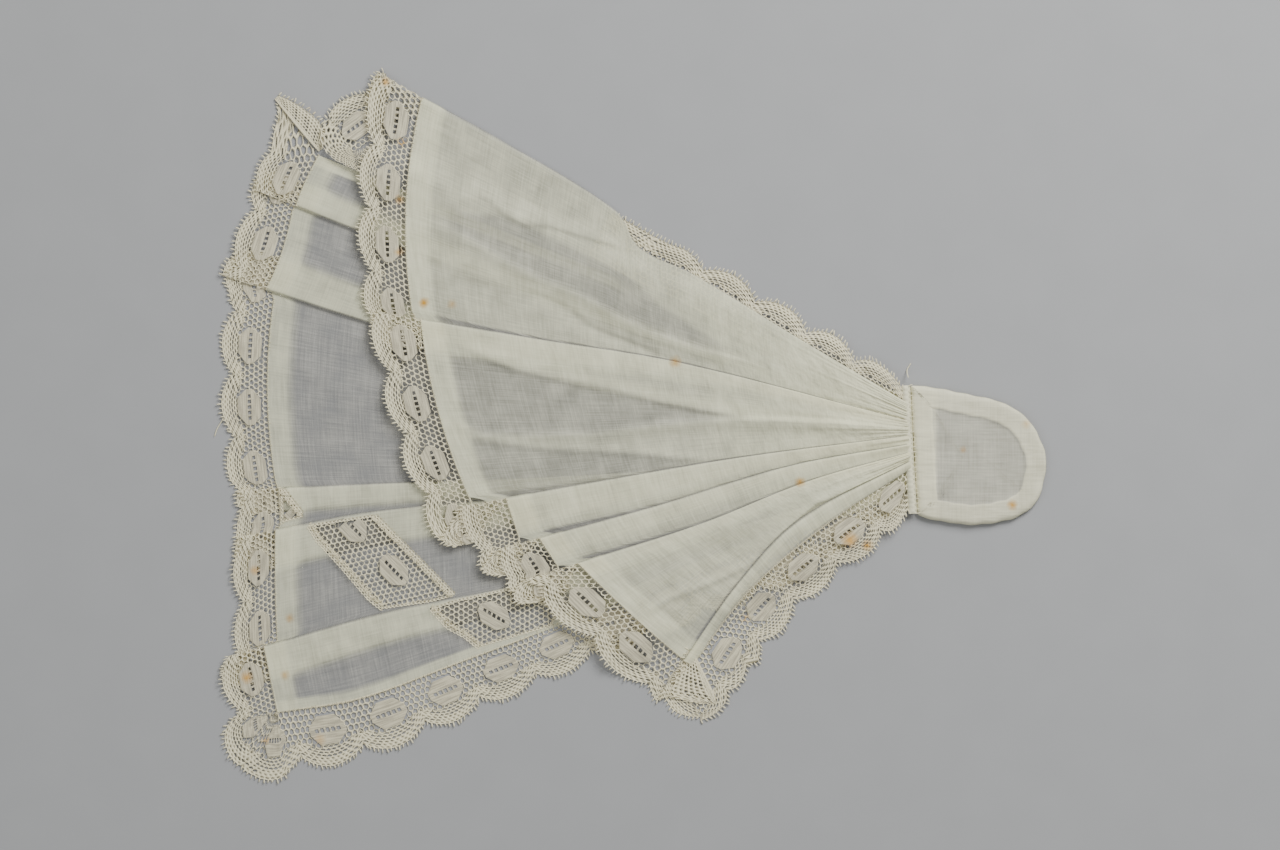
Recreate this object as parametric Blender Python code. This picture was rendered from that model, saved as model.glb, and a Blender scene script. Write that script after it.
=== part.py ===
"""A jabot laid out flat: two gathered frills of sheer lawn edged with scalloped lace, sewn to a tab.

X runs from the hem to the tab, Y across the frills and Z up. The underside is flat at Z = 0.
Sizes below are millimetres, and a mesh is scaled to metres when it is made.
"""

import math
from collections import namedtuple

import bmesh
import bpy
from mathutils import Matrix, Vector
from mathutils.geometry import tessellate_polygon

MM = 0.001
MIDDLE = Vector((0.6, 0.5, 0.0))  # the laid-out jabot's middle, which becomes the origin

# Cloth, lace and folds
WALL = 1.0              # thickness of one layer of cloth or lace
FOLD_GAP = 0.35         # air between a fold's lip and the layer that it laps
SEAM_GAP = 0.3          # space between pieces that are sewn together
SIDE_GAP = 0.33         # the same along a side, where the edge bends
LIP_AT_HEM = 3.0        # how far a fold laps its neighbour at the hem
LIP_AT_NECK = 0.7       # the same where the gathers meet the tab
ROUNDING = 0.35         # bevel along the top edge of a fold
FOLD_TOP = 2 * WALL + FOLD_GAP
ROLLED_TOP = 2.0        # height of an edge that is turned under
CLOTH_STEP = 6.0        # spacing of points across a gore of cloth
LACE_STEP = 3.0         # spacing of points along lace
LIP_MOST = 0.3          # a lip takes at most this share of a gore's width
LIP_CLEAR = 0.03        # share of a gore's width kept clear beyond a lip
BEVEL_MOST = 0.1        # the bevel takes at most this share
HEM_GRAIN = 0.96        # the lace follows the grain between here and the hem, as a share down

# Edging
LACE_TIP = 14.4         # width at the tip of a scallop
LACE_VALLEY = 11.0      # width between two scallops
SCALLOP = 18.0          # length of one scallop
LACE_RINGS = 3          # rows of faces from foot to edge
INSERTION_GAP = 0.3     # space all round a stretch of insertion
PLUG = (-2.0, 6.0)      # heights of the cutter that keeps a stretch of insertion
HOLE = (-3.0, 7.0)      # and of the one that takes it out of the frill

# The seam where both frills meet the tab
NECK_X = 82.0
NECK_Y = 7.0
NECK_SLANT = 0.067      # how far the seam leans towards the tab for each mm down

# The upper frill rests on the lower one, and comes down to the floor outside it
UPPER_LIFT = 2.75
FLAP_LIFT = 1.35        # rise over the flap that is turned under at the top left
DROP_START = 2.5        # distance outside the lower frill where the upper one starts to drop
DROP_WIDTH = 8.0
LOWER_TOP_EDGE = ((-94.0, 83.0), (82.0, 9.0))
LOWER_SIDE_EDGE = ((82.0, -25.0), (-10.5, -68.0))
FLAP_X = -74.0
FLAP_RAMP = 10.0

# Fold lines: points between the hem and the seam, and where each meets the seam
LOWER_FOLDS = {
    "top side": (((-10.0, 46.5),), 9.0),
    "first": (((-82.0, 58.0), (-10.0, 31.0)), 0.0),
    "second": (((-82.0, 31.5), (-10.0, 10.0)), -4.0),
    "third": (((-70.0, -17.0), (-10.0, -14.5)), -8.0),
    "fourth": (((-77.0, -25.5), (-10.0, -19.5)), -12.0),
    "fifth": (((-75.0, -56.0), (-36.0, -48.0), (20.0, -33.0)), -16.0),
    "low side": (((-82.0, -82.0), (-49.0, -70.0), (-18.0, -58.5), (32.0, -39.0)), -19.5),
}
UPPER_FOLDS = {
    "top fold": (((-40.0, 86.0), (-5.0, 64.5), (2.0, 53.5), (19.0, 45.0), (50.0, 26.0)), 7.0),
    "first": (((-28.0, 26.0), (14.0, 19.0)), 1.5),
    "second": (((-10.0, -16.5), (32.0, -9.5)), -3.0),
    "third": (((5.0, -24.5), (47.0, -12.0)), -5.5),
    "fourth": (((20.0, -29.5), (53.0, -16.5)), -8.0),
    "ridge": (((32.0, -46.5), (50.0, -28.0)), -10.5),
    "low side": (((35.0, -49.5), (59.0, -29.0)), -13.0),
}

# A gore is the cloth between two folds. At each edge it lies over or under its neighbour, or is
# free. Bulge is how far its hem bows out, tip is where its first scallop has its tip, wide is the
# share of its lace's width that shows, and swell is how far the middle lifts.
Gore = namedtuple("Gore", "fold_a hem_a lies_a fold_b hem_b lies_b bulge tip wide swell")
LOWER_GORES = (
    Gore("top side", (-94.0, 81.0), "free", "first", (-101.0, 65.5), "over", 0.5, 10.0, 1.0, 0.2),
    Gore("first", (-102.0, 64.5), "under", "second", (-110.0, 40.5), "over", -1.0, 12.0, 1.0, 0.2),
    Gore("second", (-107.5, 38.0), "under", "third", (-107.0, -17.0), "under", 2.2, 15.0, 0.97, 0.3),
    Gore("third", (-106.0, -18.5), "over", "fourth", (-105.5, -29.5), "under", 0.0, 12.0, 0.92, 0.2),
    Gore("fourth", (-107.0, -31.0), "over", "fifth", (-106.5, -64.5), "under", 0.3, 10.5, 0.88, 0.3),
    Gore("fifth", (-110.5, -66.0), "over", "low side", (-106.5, -86.0), "free", 0.0, 9.0, 1.0, 0.3),
)
UPPER_GORES = (
    Gore("top fold", (-63.0, 98.5), "rolled", "first", (-66.0, 34.0), "under", 3.3, 10.0, 1.0, 0.3),
    Gore("first", (-63.5, 32.0), "over", "second", (-49.0, -21.5), "under", 2.1, 8.0, 1.0, 0.3),
    Gore("second", (-38.0, -21.5), "over", "third", (-34.0, -33.5), "under", 0.0, 6.0, 1.0, 0.2),
    Gore("third", (-28.0, -33.5), "over", "fourth", (-22.5, -42.0), "under", 0.0, 9.0, 1.0, 0.2),
    Gore("fourth", (-16.5, -41.0), "over", "ridge", (15.0, -70.0), "under", 0.5, 12.5, 1.1, 0.6),
    Gore("ridge", (15.2, -70.4), "over", "low side", (18.0, -71.8), "free", 0.0, 9.0, 1.0, 1.0),
)
# Gathers at the seam of the upper frill, and soft waves that run along it. A wave's middle is a
# share across its gore at its inner and outer end, and it starts and ends a share down the gore.
GATHER_RISE = 0.45      # height of a gather where it leaves the seam
GATHERS_END = 0.45      # share down a gore where the gathers run out
Wave = namedtuple("Wave", "gore across_in across_out starts ends rise half_width")
WAVES = (
    Wave(0, 0.10, 0.36, 0.50, 0.90, 0.7, 0.12),
    Wave(0, 0.70, 0.56, 0.42, 1.00, 0.8, 0.12),
    Wave(0, 0.90, 0.76, 0.45, 0.85, 0.5, 0.12),
    Wave(1, 0.50, 0.63, 0.05, 1.00, 0.7, 0.13),
    Wave(4, 0.85, 0.55, 0.50, 1.00, 0.7, 0.16),
)
EDGE_HEIGHT = {"free": WALL, "under": WALL, "over": FOLD_TOP, "rolled": ROLLED_TOP}
CLOTH_RINGS = {"lower": 14, "upper": 20}

# The tab, round from the top of the seam
TAB_OUTLINE = (
    (83.0, 12.6), (99.0, 10.0), (110.0, 7.5), (115.5, 5.0), (120.0, 0.5), (123.5, -6.0),
    (124.4, -10.5), (123.5, -17.0), (122.0, -22.5), (118.5, -25.8), (114.0, -28.3),
    (108.0, -29.6), (100.0, -30.0), (92.5, -29.0), (85.2, -27.2),
)
TAB_LAYER = 1.1
TAB_RIM = 6.0           # allowance turned in all round
TAB_RELIEF = 0.45       # what the turned allowance adds
TAB_EDGE = 0.5

# Insertion lace let into the lower frill: the corners of each stretch that shows
INSERTIONS = {
    "insertion_centre": ((-104.3, -20.4), (-99.5, -27.0), (-104.2, -28.0)),
    "insertion_middle": (
        (-97.0, -29.8), (-77.5, -26.9), (-54.5, -49.5), (-61.0, -52.8),
        (-75.0, -54.8), (-79.0, -51.5), (-87.0, -42.0), (-94.0, -34.5),
    ),
    "insertion_low": (
        (-59.5, -55.2), (-52.5, -53.6), (-35.0, -49.2), (-22.0, -55.0), (-24.5, -60.0),
        (-46.0, -66.3), (-50.0, -63.0), (-55.5, -60.0),
    ),
}

# Lace that turns round a corner and runs up a side: its widths where the corner starts, at the
# mitre, after the corner, along the side and at the seam, and where its first scallop has its tip
Side = namedtuple("Side", "start mitre after along seam tip corner_steps")
LOWER_SIDE = Side(16.0, 21.0, 19.0, 13.6, 5.0, 14.0, 8)
UPPER_SIDE = Side(14.8, 17.4, 16.8, 14.4, 12.5, 9.0, 7)
EASE = 0.45             # share of a side over which the corner's fullness runs out
TAPER = 0.25            # share of a side over which it narrows to the seam
# The end of the lower hem's lace splays out to the turned corner
SPLAY = Vector((-0.60, 0.80))
SPLAY_STRETCH = 0.55
SPLAY_FADE = 4.0
UPPER_TOP_LEAST = 2.4   # how far the turned flap's own side lace peeps out between its scallops
UPPER_TOP_GROWTH = 1.6  # and how much more of it shows near the seam
UPPER_TOP_STARTS = 0.36  # share of the top edge, from the hem, where it starts to show
UPPER_TOP_TIP = 3        # points along it over which it comes out from under the fold
UPPER_TOP_FIRST = 0.3    # and how far out, in points, it already is at the first
# The scalloped edge of the flap's lace and the line where the upper hem hides it
TURNED_OUTER = (
    (-76.5, 106.8), (-81.0, 102.0), (-88.0, 98.2), (-92.6, 92.5), (-92.6, 85.5),
    (-86.0, 79.5), (-79.5, 75.8),
)
TURNED_INNER = ((-75.4, 104.5), (-75.5, 76.0))
TURNED_STEPS = 16
# The folded-back end of the lower edging, and the crease on which it stands highest
CORNER_OUTLINE = (
    (-107.0, 98.3), (-105.0, 99.2), (-100.5, 98.2), (-97.0, 96.4), (-94.8, 93.6), (-93.9, 90.0),
    (-93.9, 85.5), (-94.6, 83.4), (-97.5, 84.5), (-101.0, 88.0), (-103.5, 92.0), (-106.3, 96.2),
)
CORNER_FOLD = ((-107.0, 98.3), (-94.6, 83.4))
CORNER_LIFT = 1.6       # height of the crease
CORNER_FALL = 9.0       # distance from it at which the leaf is down on the surface

COLOURS = {
    "lawn": ((0.68, 0.66, 0.58), 0.85),
    "lace": ((0.70, 0.64, 0.49), 0.80),
}


def metres(x, y, z):
    """A place in the tables' millimetres as a place in the scene."""
    return (Vector((x, y, z)) - MIDDLE) * MM


def smooth_step(value):
    value = min(1.0, max(0.0, value))
    return value * value * (3.0 - 2.0 * value)


def inside_distance(point, line):
    """Distance from a line through two points, positive on its right-hand side."""
    (ax, ay), (bx, by) = line
    along = Vector((bx - ax, by - ay)).normalized()
    return (point.x - ax) * along.y - (point.y - ay) * along.x


def over_lower(point):
    """1 where the lower frill is beneath, falling to 0 outside it."""
    inside = min(inside_distance(point, LOWER_TOP_EDGE), inside_distance(point, LOWER_SIDE_EDGE))
    return smooth_step((inside + DROP_START + DROP_WIDTH) / DROP_WIDTH)


def upper_rise(point):
    """Height of the upper frill's underside."""
    flap = 1.0 - smooth_step((point.x - FLAP_X) / FLAP_RAMP)
    share = over_lower(point)
    return UPPER_LIFT * share + FLAP_LIFT * flap * (1.0 - share)


def floor_rise(point):
    return 0.0


def turned_rise(point):
    """The flap's lace lies on the floor, and on the lower frill where it reaches it."""
    return (UPPER_LIFT - SEAM_GAP - WALL) * over_lower(point)


def corner_rise(point):
    return CORNER_LIFT * max(0.0, 1.0 - abs(inside_distance(point, CORNER_FOLD)) / CORNER_FALL)


def on_curve(points, share):
    """A point on the smooth curve through some points, by its share of their chord length."""
    points = [Vector(p) for p in points]
    lengths = [(b - a).length for a, b in zip(points, points[1:])]
    rest = share * sum(lengths)
    index = 0
    while index < len(lengths) - 1 and rest > lengths[index]:
        rest -= lengths[index]
        index += 1
    t = rest / lengths[index]
    a, b = points[index], points[index + 1]
    tangent_a = (b - a) if index == 0 else (b - points[index - 1]) * (
        lengths[index] / (lengths[index] + lengths[index - 1])
    )
    tangent_b = (b - a) if index == len(lengths) - 1 else (points[index + 2] - a) * (
        lengths[index] / (lengths[index] + lengths[index + 1])
    )
    return (
        a * (2 * t**3 - 3 * t**2 + 1)
        + tangent_a * (t**3 - 2 * t**2 + t)
        + b * (3 * t**2 - 2 * t**3)
        + tangent_b * (t**3 - t**2)
    )


def seam_point(y):
    return (NECK_X + (NECK_Y - y) * NECK_SLANT, y)


class Frill:
    """The plan of one gathered frill: where a point of each gore lies, for cloth and for its lace."""

    def __init__(self, gores, folds, splayed=False):
        self.gores = gores
        self.splayed = splayed
        self.routes = []
        for gore in gores:
            route = []
            for fold, hem in ((gore.fold_a, gore.hem_a), (gore.fold_b, gore.hem_b)):
                middle, neck_y = folds[fold]
                route.append((seam_point(neck_y), *reversed(middle), hem))
            self.routes.append(route)

    def hem_out(self, index):
        """The direction square to a gore's hem, away from the seam."""
        gore = self.gores[index]
        along = (Vector(gore.hem_b) - Vector(gore.hem_a)).normalized()
        return Vector((along.y, -along.x))

    def hem_length(self, index):
        gore = self.gores[index]
        return (Vector(gore.hem_b) - Vector(gore.hem_a)).length

    def cloth(self, index, across, down):
        """A point of the cloth: across a gore from 0 to 1, and down it from the seam to the hem."""
        route_a, route_b = self.routes[index]
        point = on_curve(route_a, down).lerp(on_curve(route_b, down), across)
        bow = self.gores[index].bulge * 4 * across * (1 - across) * down * down
        return point + self.hem_out(index) * bow

    def lace(self, index, across, out):
        """A point of the hem's lace, from its foot at 0 to its scalloped edge at 1."""
        foot = self.cloth(index, across, 1.0)
        along = (foot - self.cloth(index, across, HEM_GRAIN)).normalized()
        square = self.hem_out(index)
        place = across * self.hem_length(index) - self.gores[index].tip
        width = SEAM_GAP + (scallop_width(place) * self.gores[index].wide - SEAM_GAP) * out
        splay = max(0.0, 1 - SPLAY_FADE * across) if self.splayed and index == 0 else 0.0
        along = along.lerp(SPLAY, splay).normalized()
        return foot + along * width * (1 + SPLAY_STRETCH * splay) / max(0.5, along.dot(square))


def scallop_width(place):
    """Width of the edging at a distance from the tip of a scallop."""
    part = place / SCALLOP + 0.5
    part -= math.floor(part)
    return LACE_VALLEY + (LACE_TIP - LACE_VALLEY) * (1 - (2 * part - 1) ** 2)


def plain(index, number, across, down):
    return 0.0


def gathered(index, number, across, down):
    """How far the gathers and the soft waves lift a point of the upper frill."""
    height = GATHER_RISE * (number % 2) * (1 - smooth_step(down / GATHERS_END))
    for wave in WAVES:
        share = (down - wave.starts) / (wave.ends - wave.starts)
        if wave.gore == index and 0 < share < 1:
            middle = wave.across_in + (wave.across_out - wave.across_in) * share
            crest = 1 - smooth_step(abs(across - middle) / wave.half_width)
            height += wave.rise * crest * math.sin(math.pi * share)
    return height


def gore_ring(frill, place, at, rise, step, lips, lift):
    """One cross-section of a pleated piece: its upper and under points, and where they pair up.

    The upper side goes over each gore and round the lip of each fold, and the underside runs
    beneath the layer that touches what the piece lies on. Each point comes with its distance along.
    """
    top = []
    under = []
    pairs = []
    run = 0.0
    for index, gore in enumerate(frill.gores):
        length = frill.hem_length(index)
        steps = max(2, round(length / step))
        width = (place(index, 1.0, at) - place(index, 0.0, at)).length
        neck_width = (place(index, 1.0, 0.0) - place(index, 0.0, 0.0)).length
        lip = min(LIP_MOST, (lips[0] + (lips[1] - lips[0]) * at) / width)
        reach = min(LIP_MOST, max(lips[0] / neck_width, lips[1] / length)) + LIP_CLEAR
        bevel = min(BEVEL_MOST, ROUNDING / width)
        height_a = EDGE_HEIGHT[gore.lies_a]
        height_b = EDGE_HEIGHT[gore.lies_b]

        def spot(across, height):
            point = place(index, across, at)
            return Vector((point.x, point.y, rise(point) + height)), run + across * length

        def station(across, height):
            pairs.append((len(top), len(under)))
            top.append(spot(across, height))
            under.append(spot(across, 0.0))

        if gore.lies_a == "over":
            station(lip, WALL)
            top += [spot(lip, WALL + FOLD_GAP), spot(0.0, WALL + FOLD_GAP)]
            top += [spot(0.0, FOLD_TOP - ROUNDING), spot(bevel, FOLD_TOP)]
        else:
            station(0.0, height_a)
        for number in range(1, steps):
            across = number / steps
            height = height_a + (height_b - height_a) * across
            height += gore.swell * 4 * across * (1 - across) + lift(index, number, across, at)
            clear_a = gore.lies_a != "over" or across > reach
            clear_b = gore.lies_b != "over" or across < 1 - reach
            if clear_a and clear_b:
                station(across, height)
            else:
                top.append(spot(across, height))
        if gore.lies_b == "over":
            top += [spot(1 - bevel, FOLD_TOP), spot(1.0, FOLD_TOP - ROUNDING)]
            top += [spot(1.0, WALL + FOLD_GAP), spot(1 - lip, WALL + FOLD_GAP)]
            station(1 - lip, WALL)
        else:
            station(1.0, height_b)
        run += length + SEAM_GAP
    return top, under, pairs


def strip_ring(foot_to_edge, out, rise):
    """One cross-section of a plain strip: foot_to_edge lists (foot, edge) pairs along it."""
    top = []
    under = []
    for number, (foot, edge) in enumerate(foot_to_edge):
        point = foot.lerp(edge, out)
        top.append((Vector((point.x, point.y, rise(point) + WALL)), number))
        under.append((Vector((point.x, point.y, rise(point))), number))
    return top, under, [(k, k) for k in range(len(top))]


def loft(name, rings, look):
    """A closed solid through cross-sections that have the same number of points."""
    shape = bmesh.new()
    rows = []
    for top, under, pairs in rings:
        rows.append(
            (
                [shape.verts.new(metres(*point)) for point, _ in top],
                [shape.verts.new(metres(*point)) for point, _ in under],
            )
        )
    for (top, under), (next_top, next_under) in zip(rows, rows[1:]):
        for near, far in ((top, next_top), (under, next_under)):
            for k in range(len(near) - 1):
                shape.faces.new((near[k], near[k + 1], far[k + 1], far[k]))
        for k in (0, -1):
            shape.faces.new((top[k], under[k], next_under[k], next_top[k]))
    for (top, under), (top_spots, under_spots, pairs) in ((rows[0], rings[0]), (rows[-1], rings[-1])):
        for (top_a, under_a), (top_b, under_b) in zip(pairs, pairs[1:]):
            floor = under_spots[under_a][0].z
            cell = top[top_a : top_b + 1] + under[under_a : under_b + 1][::-1]
            spots = top_spots[top_a : top_b + 1] + under_spots[under_a : under_b + 1][::-1]
            flat = [Vector((place, point.z - floor, 0.0)) for point, place in spots]
            for corners in tessellate_polygon([flat]):
                shape.faces.new([cell[k] for k in corners])
    bmesh.ops.recalc_face_normals(shape, faces=shape.faces)
    return finish(name, shape, look)


def finish(name, shape, look):
    """Puts a mesh in the scene as a named object with its material."""
    mesh = bpy.data.meshes.new(name)
    shape.to_mesh(mesh)
    shape.free()
    piece = bpy.data.objects.new(name, mesh)
    mesh.materials.append(material(look))
    parts.objects.link(piece)
    return piece


def material(look):
    found = bpy.data.materials.get(look)
    if found:
        return found
    made = bpy.data.materials.new(look)
    made.use_nodes = True
    colour, roughness = COLOURS[look]
    shader = made.node_tree.nodes["Principled BSDF"]
    shader.inputs["Base Color"].default_value = (*colour, 1.0)
    shader.inputs["Roughness"].default_value = roughness
    shader.inputs["Metallic"].default_value = 0.0
    return made


def frill_cloth(name, frill, rise, rings, lift):
    lips = (LIP_AT_NECK, LIP_AT_HEM)
    sections = []
    for k in range(rings + 1):
        sections.append(gore_ring(frill, frill.cloth, k / rings, rise, CLOTH_STEP, lips, lift))
    return loft(name, sections, "lawn")


def hem_lace(name, frill, rise):
    lips = (LIP_AT_HEM, LIP_AT_HEM)
    sections = []
    for k in range(LACE_RINGS + 1):
        sections.append(gore_ring(frill, frill.lace, k / LACE_RINGS, rise, LACE_STEP, lips, plain))
    return loft(name, sections, "lace")


def edge_run(frill, index, across, rings, from_share=0.0):
    """(foot, outward) pairs along a frill's side edge from the hem to the seam, just clear of it."""
    edge = [frill.cloth(index, across, k / rings) for k in range(rings, -1, -1)]
    side = 1.0 if across == 0 else -1.0
    lengths = [(b - a).length for a, b in zip(edge, edge[1:])]
    squares = [(b - a).orthogonal().normalized() * side for a, b in zip(edge, edge[1:])]
    total = sum(lengths)
    steps = round(total * (1 - from_share) / LACE_STEP)
    run = []
    for k in range(steps + 1):
        rest = total * (from_share + (1 - from_share) * k / steps)
        number = 0
        while number < len(lengths) - 1 and rest > lengths[number]:
            rest -= lengths[number]
            number += 1
        share = min(1.0, rest / lengths[number])
        before = squares[max(0, number - 1)]
        after = squares[min(len(squares) - 1, number + 1)]
        square = before.lerp(squares[number], 0.5 + share / 2)
        square = (square + squares[number].lerp(after, share / 2)).normalized()
        foot = edge[number].lerp(edge[number + 1], share) + square * SIDE_GAP
        along_seam = Vector((-NECK_SLANT, 1.0)) * side
        run.append((foot, square.lerp(along_seam, smooth_step((k / steps - 1 + TAPER) / TAPER))))
    return run


def side_pairs(run, first_out, side):
    """(foot, edge) pairs of lace that swings round a corner and then follows a side."""
    length = (len(run) - 1) * LACE_STEP
    hub, last_out = run[0]
    first = Vector(first_out).normalized()
    turn = first.angle_signed(last_out)
    pairs = []
    for k in range(side.corner_steps):
        share = k / side.corner_steps
        out = first.copy()
        out.rotate(Matrix.Rotation(-turn * share, 2))
        mitre = (side.mitre - max(side.start, side.after)) * 4 * share * (1 - share)
        width = side.start + (side.after - side.start) * share + mitre
        pairs.append((hub + out * SEAM_GAP, hub + out * width))
    for k, (foot, out) in enumerate(run):
        share = k / (len(run) - 1)
        dip = LACE_TIP - scallop_width(share * length - side.tip)
        width = side.after + (side.along - side.after) * min(1.0, share / EASE)
        width += (side.seam - side.along) * smooth_step((share - 1 + TAPER) / TAPER) - dip
        pairs.append((foot, foot + out * width))
    return pairs


def side_lace(name, pairs, rise):
    return loft(name, [strip_ring(pairs, k / LACE_RINGS, rise) for k in range(LACE_RINGS + 1)], "lace")


def flat_face(shape, corners, height):
    """A level face on a polygon, facing up."""
    face = shape.faces.new([shape.verts.new(metres(x, y, height)) for x, y in corners])
    face.normal_update()
    if face.normal.z < 0:
        face.normal_flip()
    return face


def raise_face(shape, face, height):
    """Extrudes a face straight up, and returns the new upper face."""
    grown = bmesh.ops.extrude_face_region(shape, geom=[face])["geom"]
    top = next(part for part in grown if isinstance(part, bmesh.types.BMFace))
    bmesh.ops.translate(shape, verts=top.verts, vec=(0, 0, height * MM))
    return top


def prism(name, corners, heights, inset):
    """A hidden upright cutter on a polygon, drawn in by a distance."""
    shape = bmesh.new()
    low, high = heights
    base = flat_face(shape, corners, low)
    if inset:
        rim = bmesh.ops.inset_region(
            shape, faces=[base], thickness=inset * MM, use_even_offset=True, use_boundary=True
        )
        bmesh.ops.delete(shape, geom=rim["faces"], context="FACES")
    raise_face(shape, base, high - low)
    bmesh.ops.recalc_face_normals(shape, faces=shape.faces)
    mesh = bpy.data.meshes.new(name)
    shape.to_mesh(mesh)
    shape.free()
    piece = bpy.data.objects.new(name, mesh)
    cutters.objects.link(piece)
    piece.hide_render = True
    piece.display_type = "WIRE"
    return piece


def boolean(piece, cutter, operation):
    modifier = piece.modifiers.new(cutter.name, "BOOLEAN")
    modifier.operation = operation
    modifier.solver = "EXACT"
    modifier.object = cutter


def tab_layer(name, low, relief):
    """One layer of the tab, with a turned allowance that stands a little proud where it has relief."""
    shape = bmesh.new()
    top = raise_face(shape, flat_face(shape, TAB_OUTLINE, low), TAB_LAYER - (TAB_EDGE if relief else 0))
    if relief:
        for inset, rise in ((TAB_EDGE, TAB_EDGE + relief), (TAB_RIM, 0.0), (TAB_EDGE, -relief)):
            bmesh.ops.inset_region(shape, faces=[top], thickness=inset * MM, use_even_offset=True)
            bmesh.ops.translate(shape, verts=top.verts, vec=(0, 0, rise * MM))
    bmesh.ops.recalc_face_normals(shape, faces=shape.faces)
    return finish(name, shape, "lawn")


def corner_lace():
    """The end of the lower edging, folded back: a small leaf that leans on the hem's lace."""
    shape = bmesh.new()
    under = []
    top = []
    for x, y in CORNER_OUTLINE:
        height = corner_rise(Vector((x, y)))
        under.append(shape.verts.new(metres(x, y, height)))
        top.append(shape.verts.new(metres(x, y, height + WALL)))
    for corners in tessellate_polygon([[Vector((x, y, 0.0)) for x, y in CORNER_OUTLINE]]):
        shape.faces.new([top[k] for k in corners])
        shape.faces.new([under[k] for k in reversed(corners)])
    for k in range(len(top)):
        shape.faces.new((under[k - 1], under[k], top[k], top[k - 1]))
    bmesh.ops.recalc_face_normals(shape, faces=shape.faces)
    return finish("lower_corner_lace", shape, "lace")


def insertion_stretch(name, corners):
    """A stretch of insertion: the frill's own shape inside the outline, and its hole in the frill."""
    stretch = bpy.data.objects.new(name, lower_frill.data.copy())
    stretch.data.materials.clear()
    stretch.data.materials.append(material("lace"))
    parts.objects.link(stretch)
    boolean(stretch, prism(name + "_plug", corners, PLUG, INSERTION_GAP), "INTERSECT")
    boolean(lower_frill, prism(name + "_hole", corners, HOLE, 0.0), "DIFFERENCE")


def corner_direction(frill):
    """The way the hem's lace points at the last corner, where the side's lace starts."""
    last = len(frill.gores) - 1
    return frill.lace(last, 1.0, 1.0) - frill.cloth(last, 1.0, 1.0)


for old in list(bpy.data.objects):
    bpy.data.objects.remove(old)
parts = bpy.data.collections.new("Jabot")
cutters = bpy.data.collections.new("Cutters")
cutters.hide_render = True
for group in (parts, cutters):
    bpy.context.scene.collection.children.link(group)

lower = Frill(LOWER_GORES, LOWER_FOLDS, splayed=True)
upper = Frill(UPPER_GORES, UPPER_FOLDS)

# The lower frill, with its insertion let in, and its edging
lower_frill = frill_cloth("lower_frill", lower, floor_rise, CLOTH_RINGS["lower"], plain)
for insertion, insertion_corners in INSERTIONS.items():
    insertion_stretch(insertion, insertion_corners)
hem_lace("lower_hem_lace", lower, floor_rise)
lower_run = edge_run(lower, len(LOWER_GORES) - 1, 1.0, CLOTH_RINGS["lower"])
side_lace("lower_side_lace", side_pairs(lower_run, corner_direction(lower), LOWER_SIDE), floor_rise)
corner_lace()

# The upper frill and its edging
frill_cloth("upper_frill", upper, upper_rise, CLOTH_RINGS["upper"], gathered)
hem_lace("upper_hem_lace", upper, upper_rise)
upper_run = edge_run(upper, len(UPPER_GORES) - 1, 1.0, CLOTH_RINGS["upper"])
side_lace("upper_side_lace", side_pairs(upper_run, corner_direction(upper), UPPER_SIDE), upper_rise)

# The lace of the flap that is turned under: its side peeps out above, and its hem at the left
top_run = edge_run(upper, 0, 0.0, CLOTH_RINGS["upper"], UPPER_TOP_STARTS)
top_pairs = []
for number, (near, outward) in enumerate(top_run):
    shown = UPPER_TOP_LEAST + UPPER_TOP_GROWTH * number / len(top_run)
    shown += scallop_width(number * LACE_STEP - SCALLOP / 2) - LACE_VALLEY
    shown *= min(1.0, (number + UPPER_TOP_FIRST) / UPPER_TOP_TIP)
    top_pairs.append((near, near + outward * shown))
side_lace("upper_top_lace", top_pairs, upper_rise)
inner_top, inner_low = (Vector(corner) for corner in TURNED_INNER)
turned_pairs = []
for number in range(TURNED_STEPS + 1):
    way = number / TURNED_STEPS
    turned_pairs.append((inner_top.lerp(inner_low, way), on_curve(TURNED_OUTER, way)))
side_lace("upper_turned_lace", turned_pairs, turned_rise)

tab_layer("tab_back", 0.0, 0.0)
tab_layer("tab_front", TAB_LAYER + SEAM_GAP, TAB_RELIEF)
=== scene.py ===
"""A jabot laid out flat: two gathered tiers of sheer lawn, edged with scalloped lace, on a tab.

The tables give millimetres: X from the hem to the tab, Y across the frills. Each frill is one flat
strip of cloth or lace that is laid into its pleats, so a pattern drawn flat folds with it.
"""

import math
from collections import namedtuple

import bpy
import numpy as np
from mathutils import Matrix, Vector
from mathutils.bvhtree import BVHTree


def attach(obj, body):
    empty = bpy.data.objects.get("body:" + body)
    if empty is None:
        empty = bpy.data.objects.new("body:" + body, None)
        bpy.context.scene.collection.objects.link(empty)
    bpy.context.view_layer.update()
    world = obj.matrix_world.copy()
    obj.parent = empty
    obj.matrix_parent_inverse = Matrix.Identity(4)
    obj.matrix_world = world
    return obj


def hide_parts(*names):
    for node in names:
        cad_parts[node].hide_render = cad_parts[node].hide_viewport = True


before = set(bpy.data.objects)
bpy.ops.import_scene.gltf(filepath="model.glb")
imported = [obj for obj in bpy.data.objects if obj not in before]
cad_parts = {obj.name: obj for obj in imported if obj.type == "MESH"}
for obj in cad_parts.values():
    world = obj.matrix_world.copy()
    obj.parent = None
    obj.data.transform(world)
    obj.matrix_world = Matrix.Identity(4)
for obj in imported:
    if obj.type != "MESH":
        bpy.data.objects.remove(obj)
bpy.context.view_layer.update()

# Surface, light and camera. The jabot lies on a plain pale board under soft studio light, and the
# camera looks straight down on it from far off, as the photograph does.
MM = 0.001
BOARD_COLOUR = (0.355, 0.36, 0.362)
CAMERA_HEIGHT = 1.5
PICTURE_WIDTH = 0.384
PICTURE_CENTRE = (0.00165, -0.00035)
SENSOR = 36.0


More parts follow.
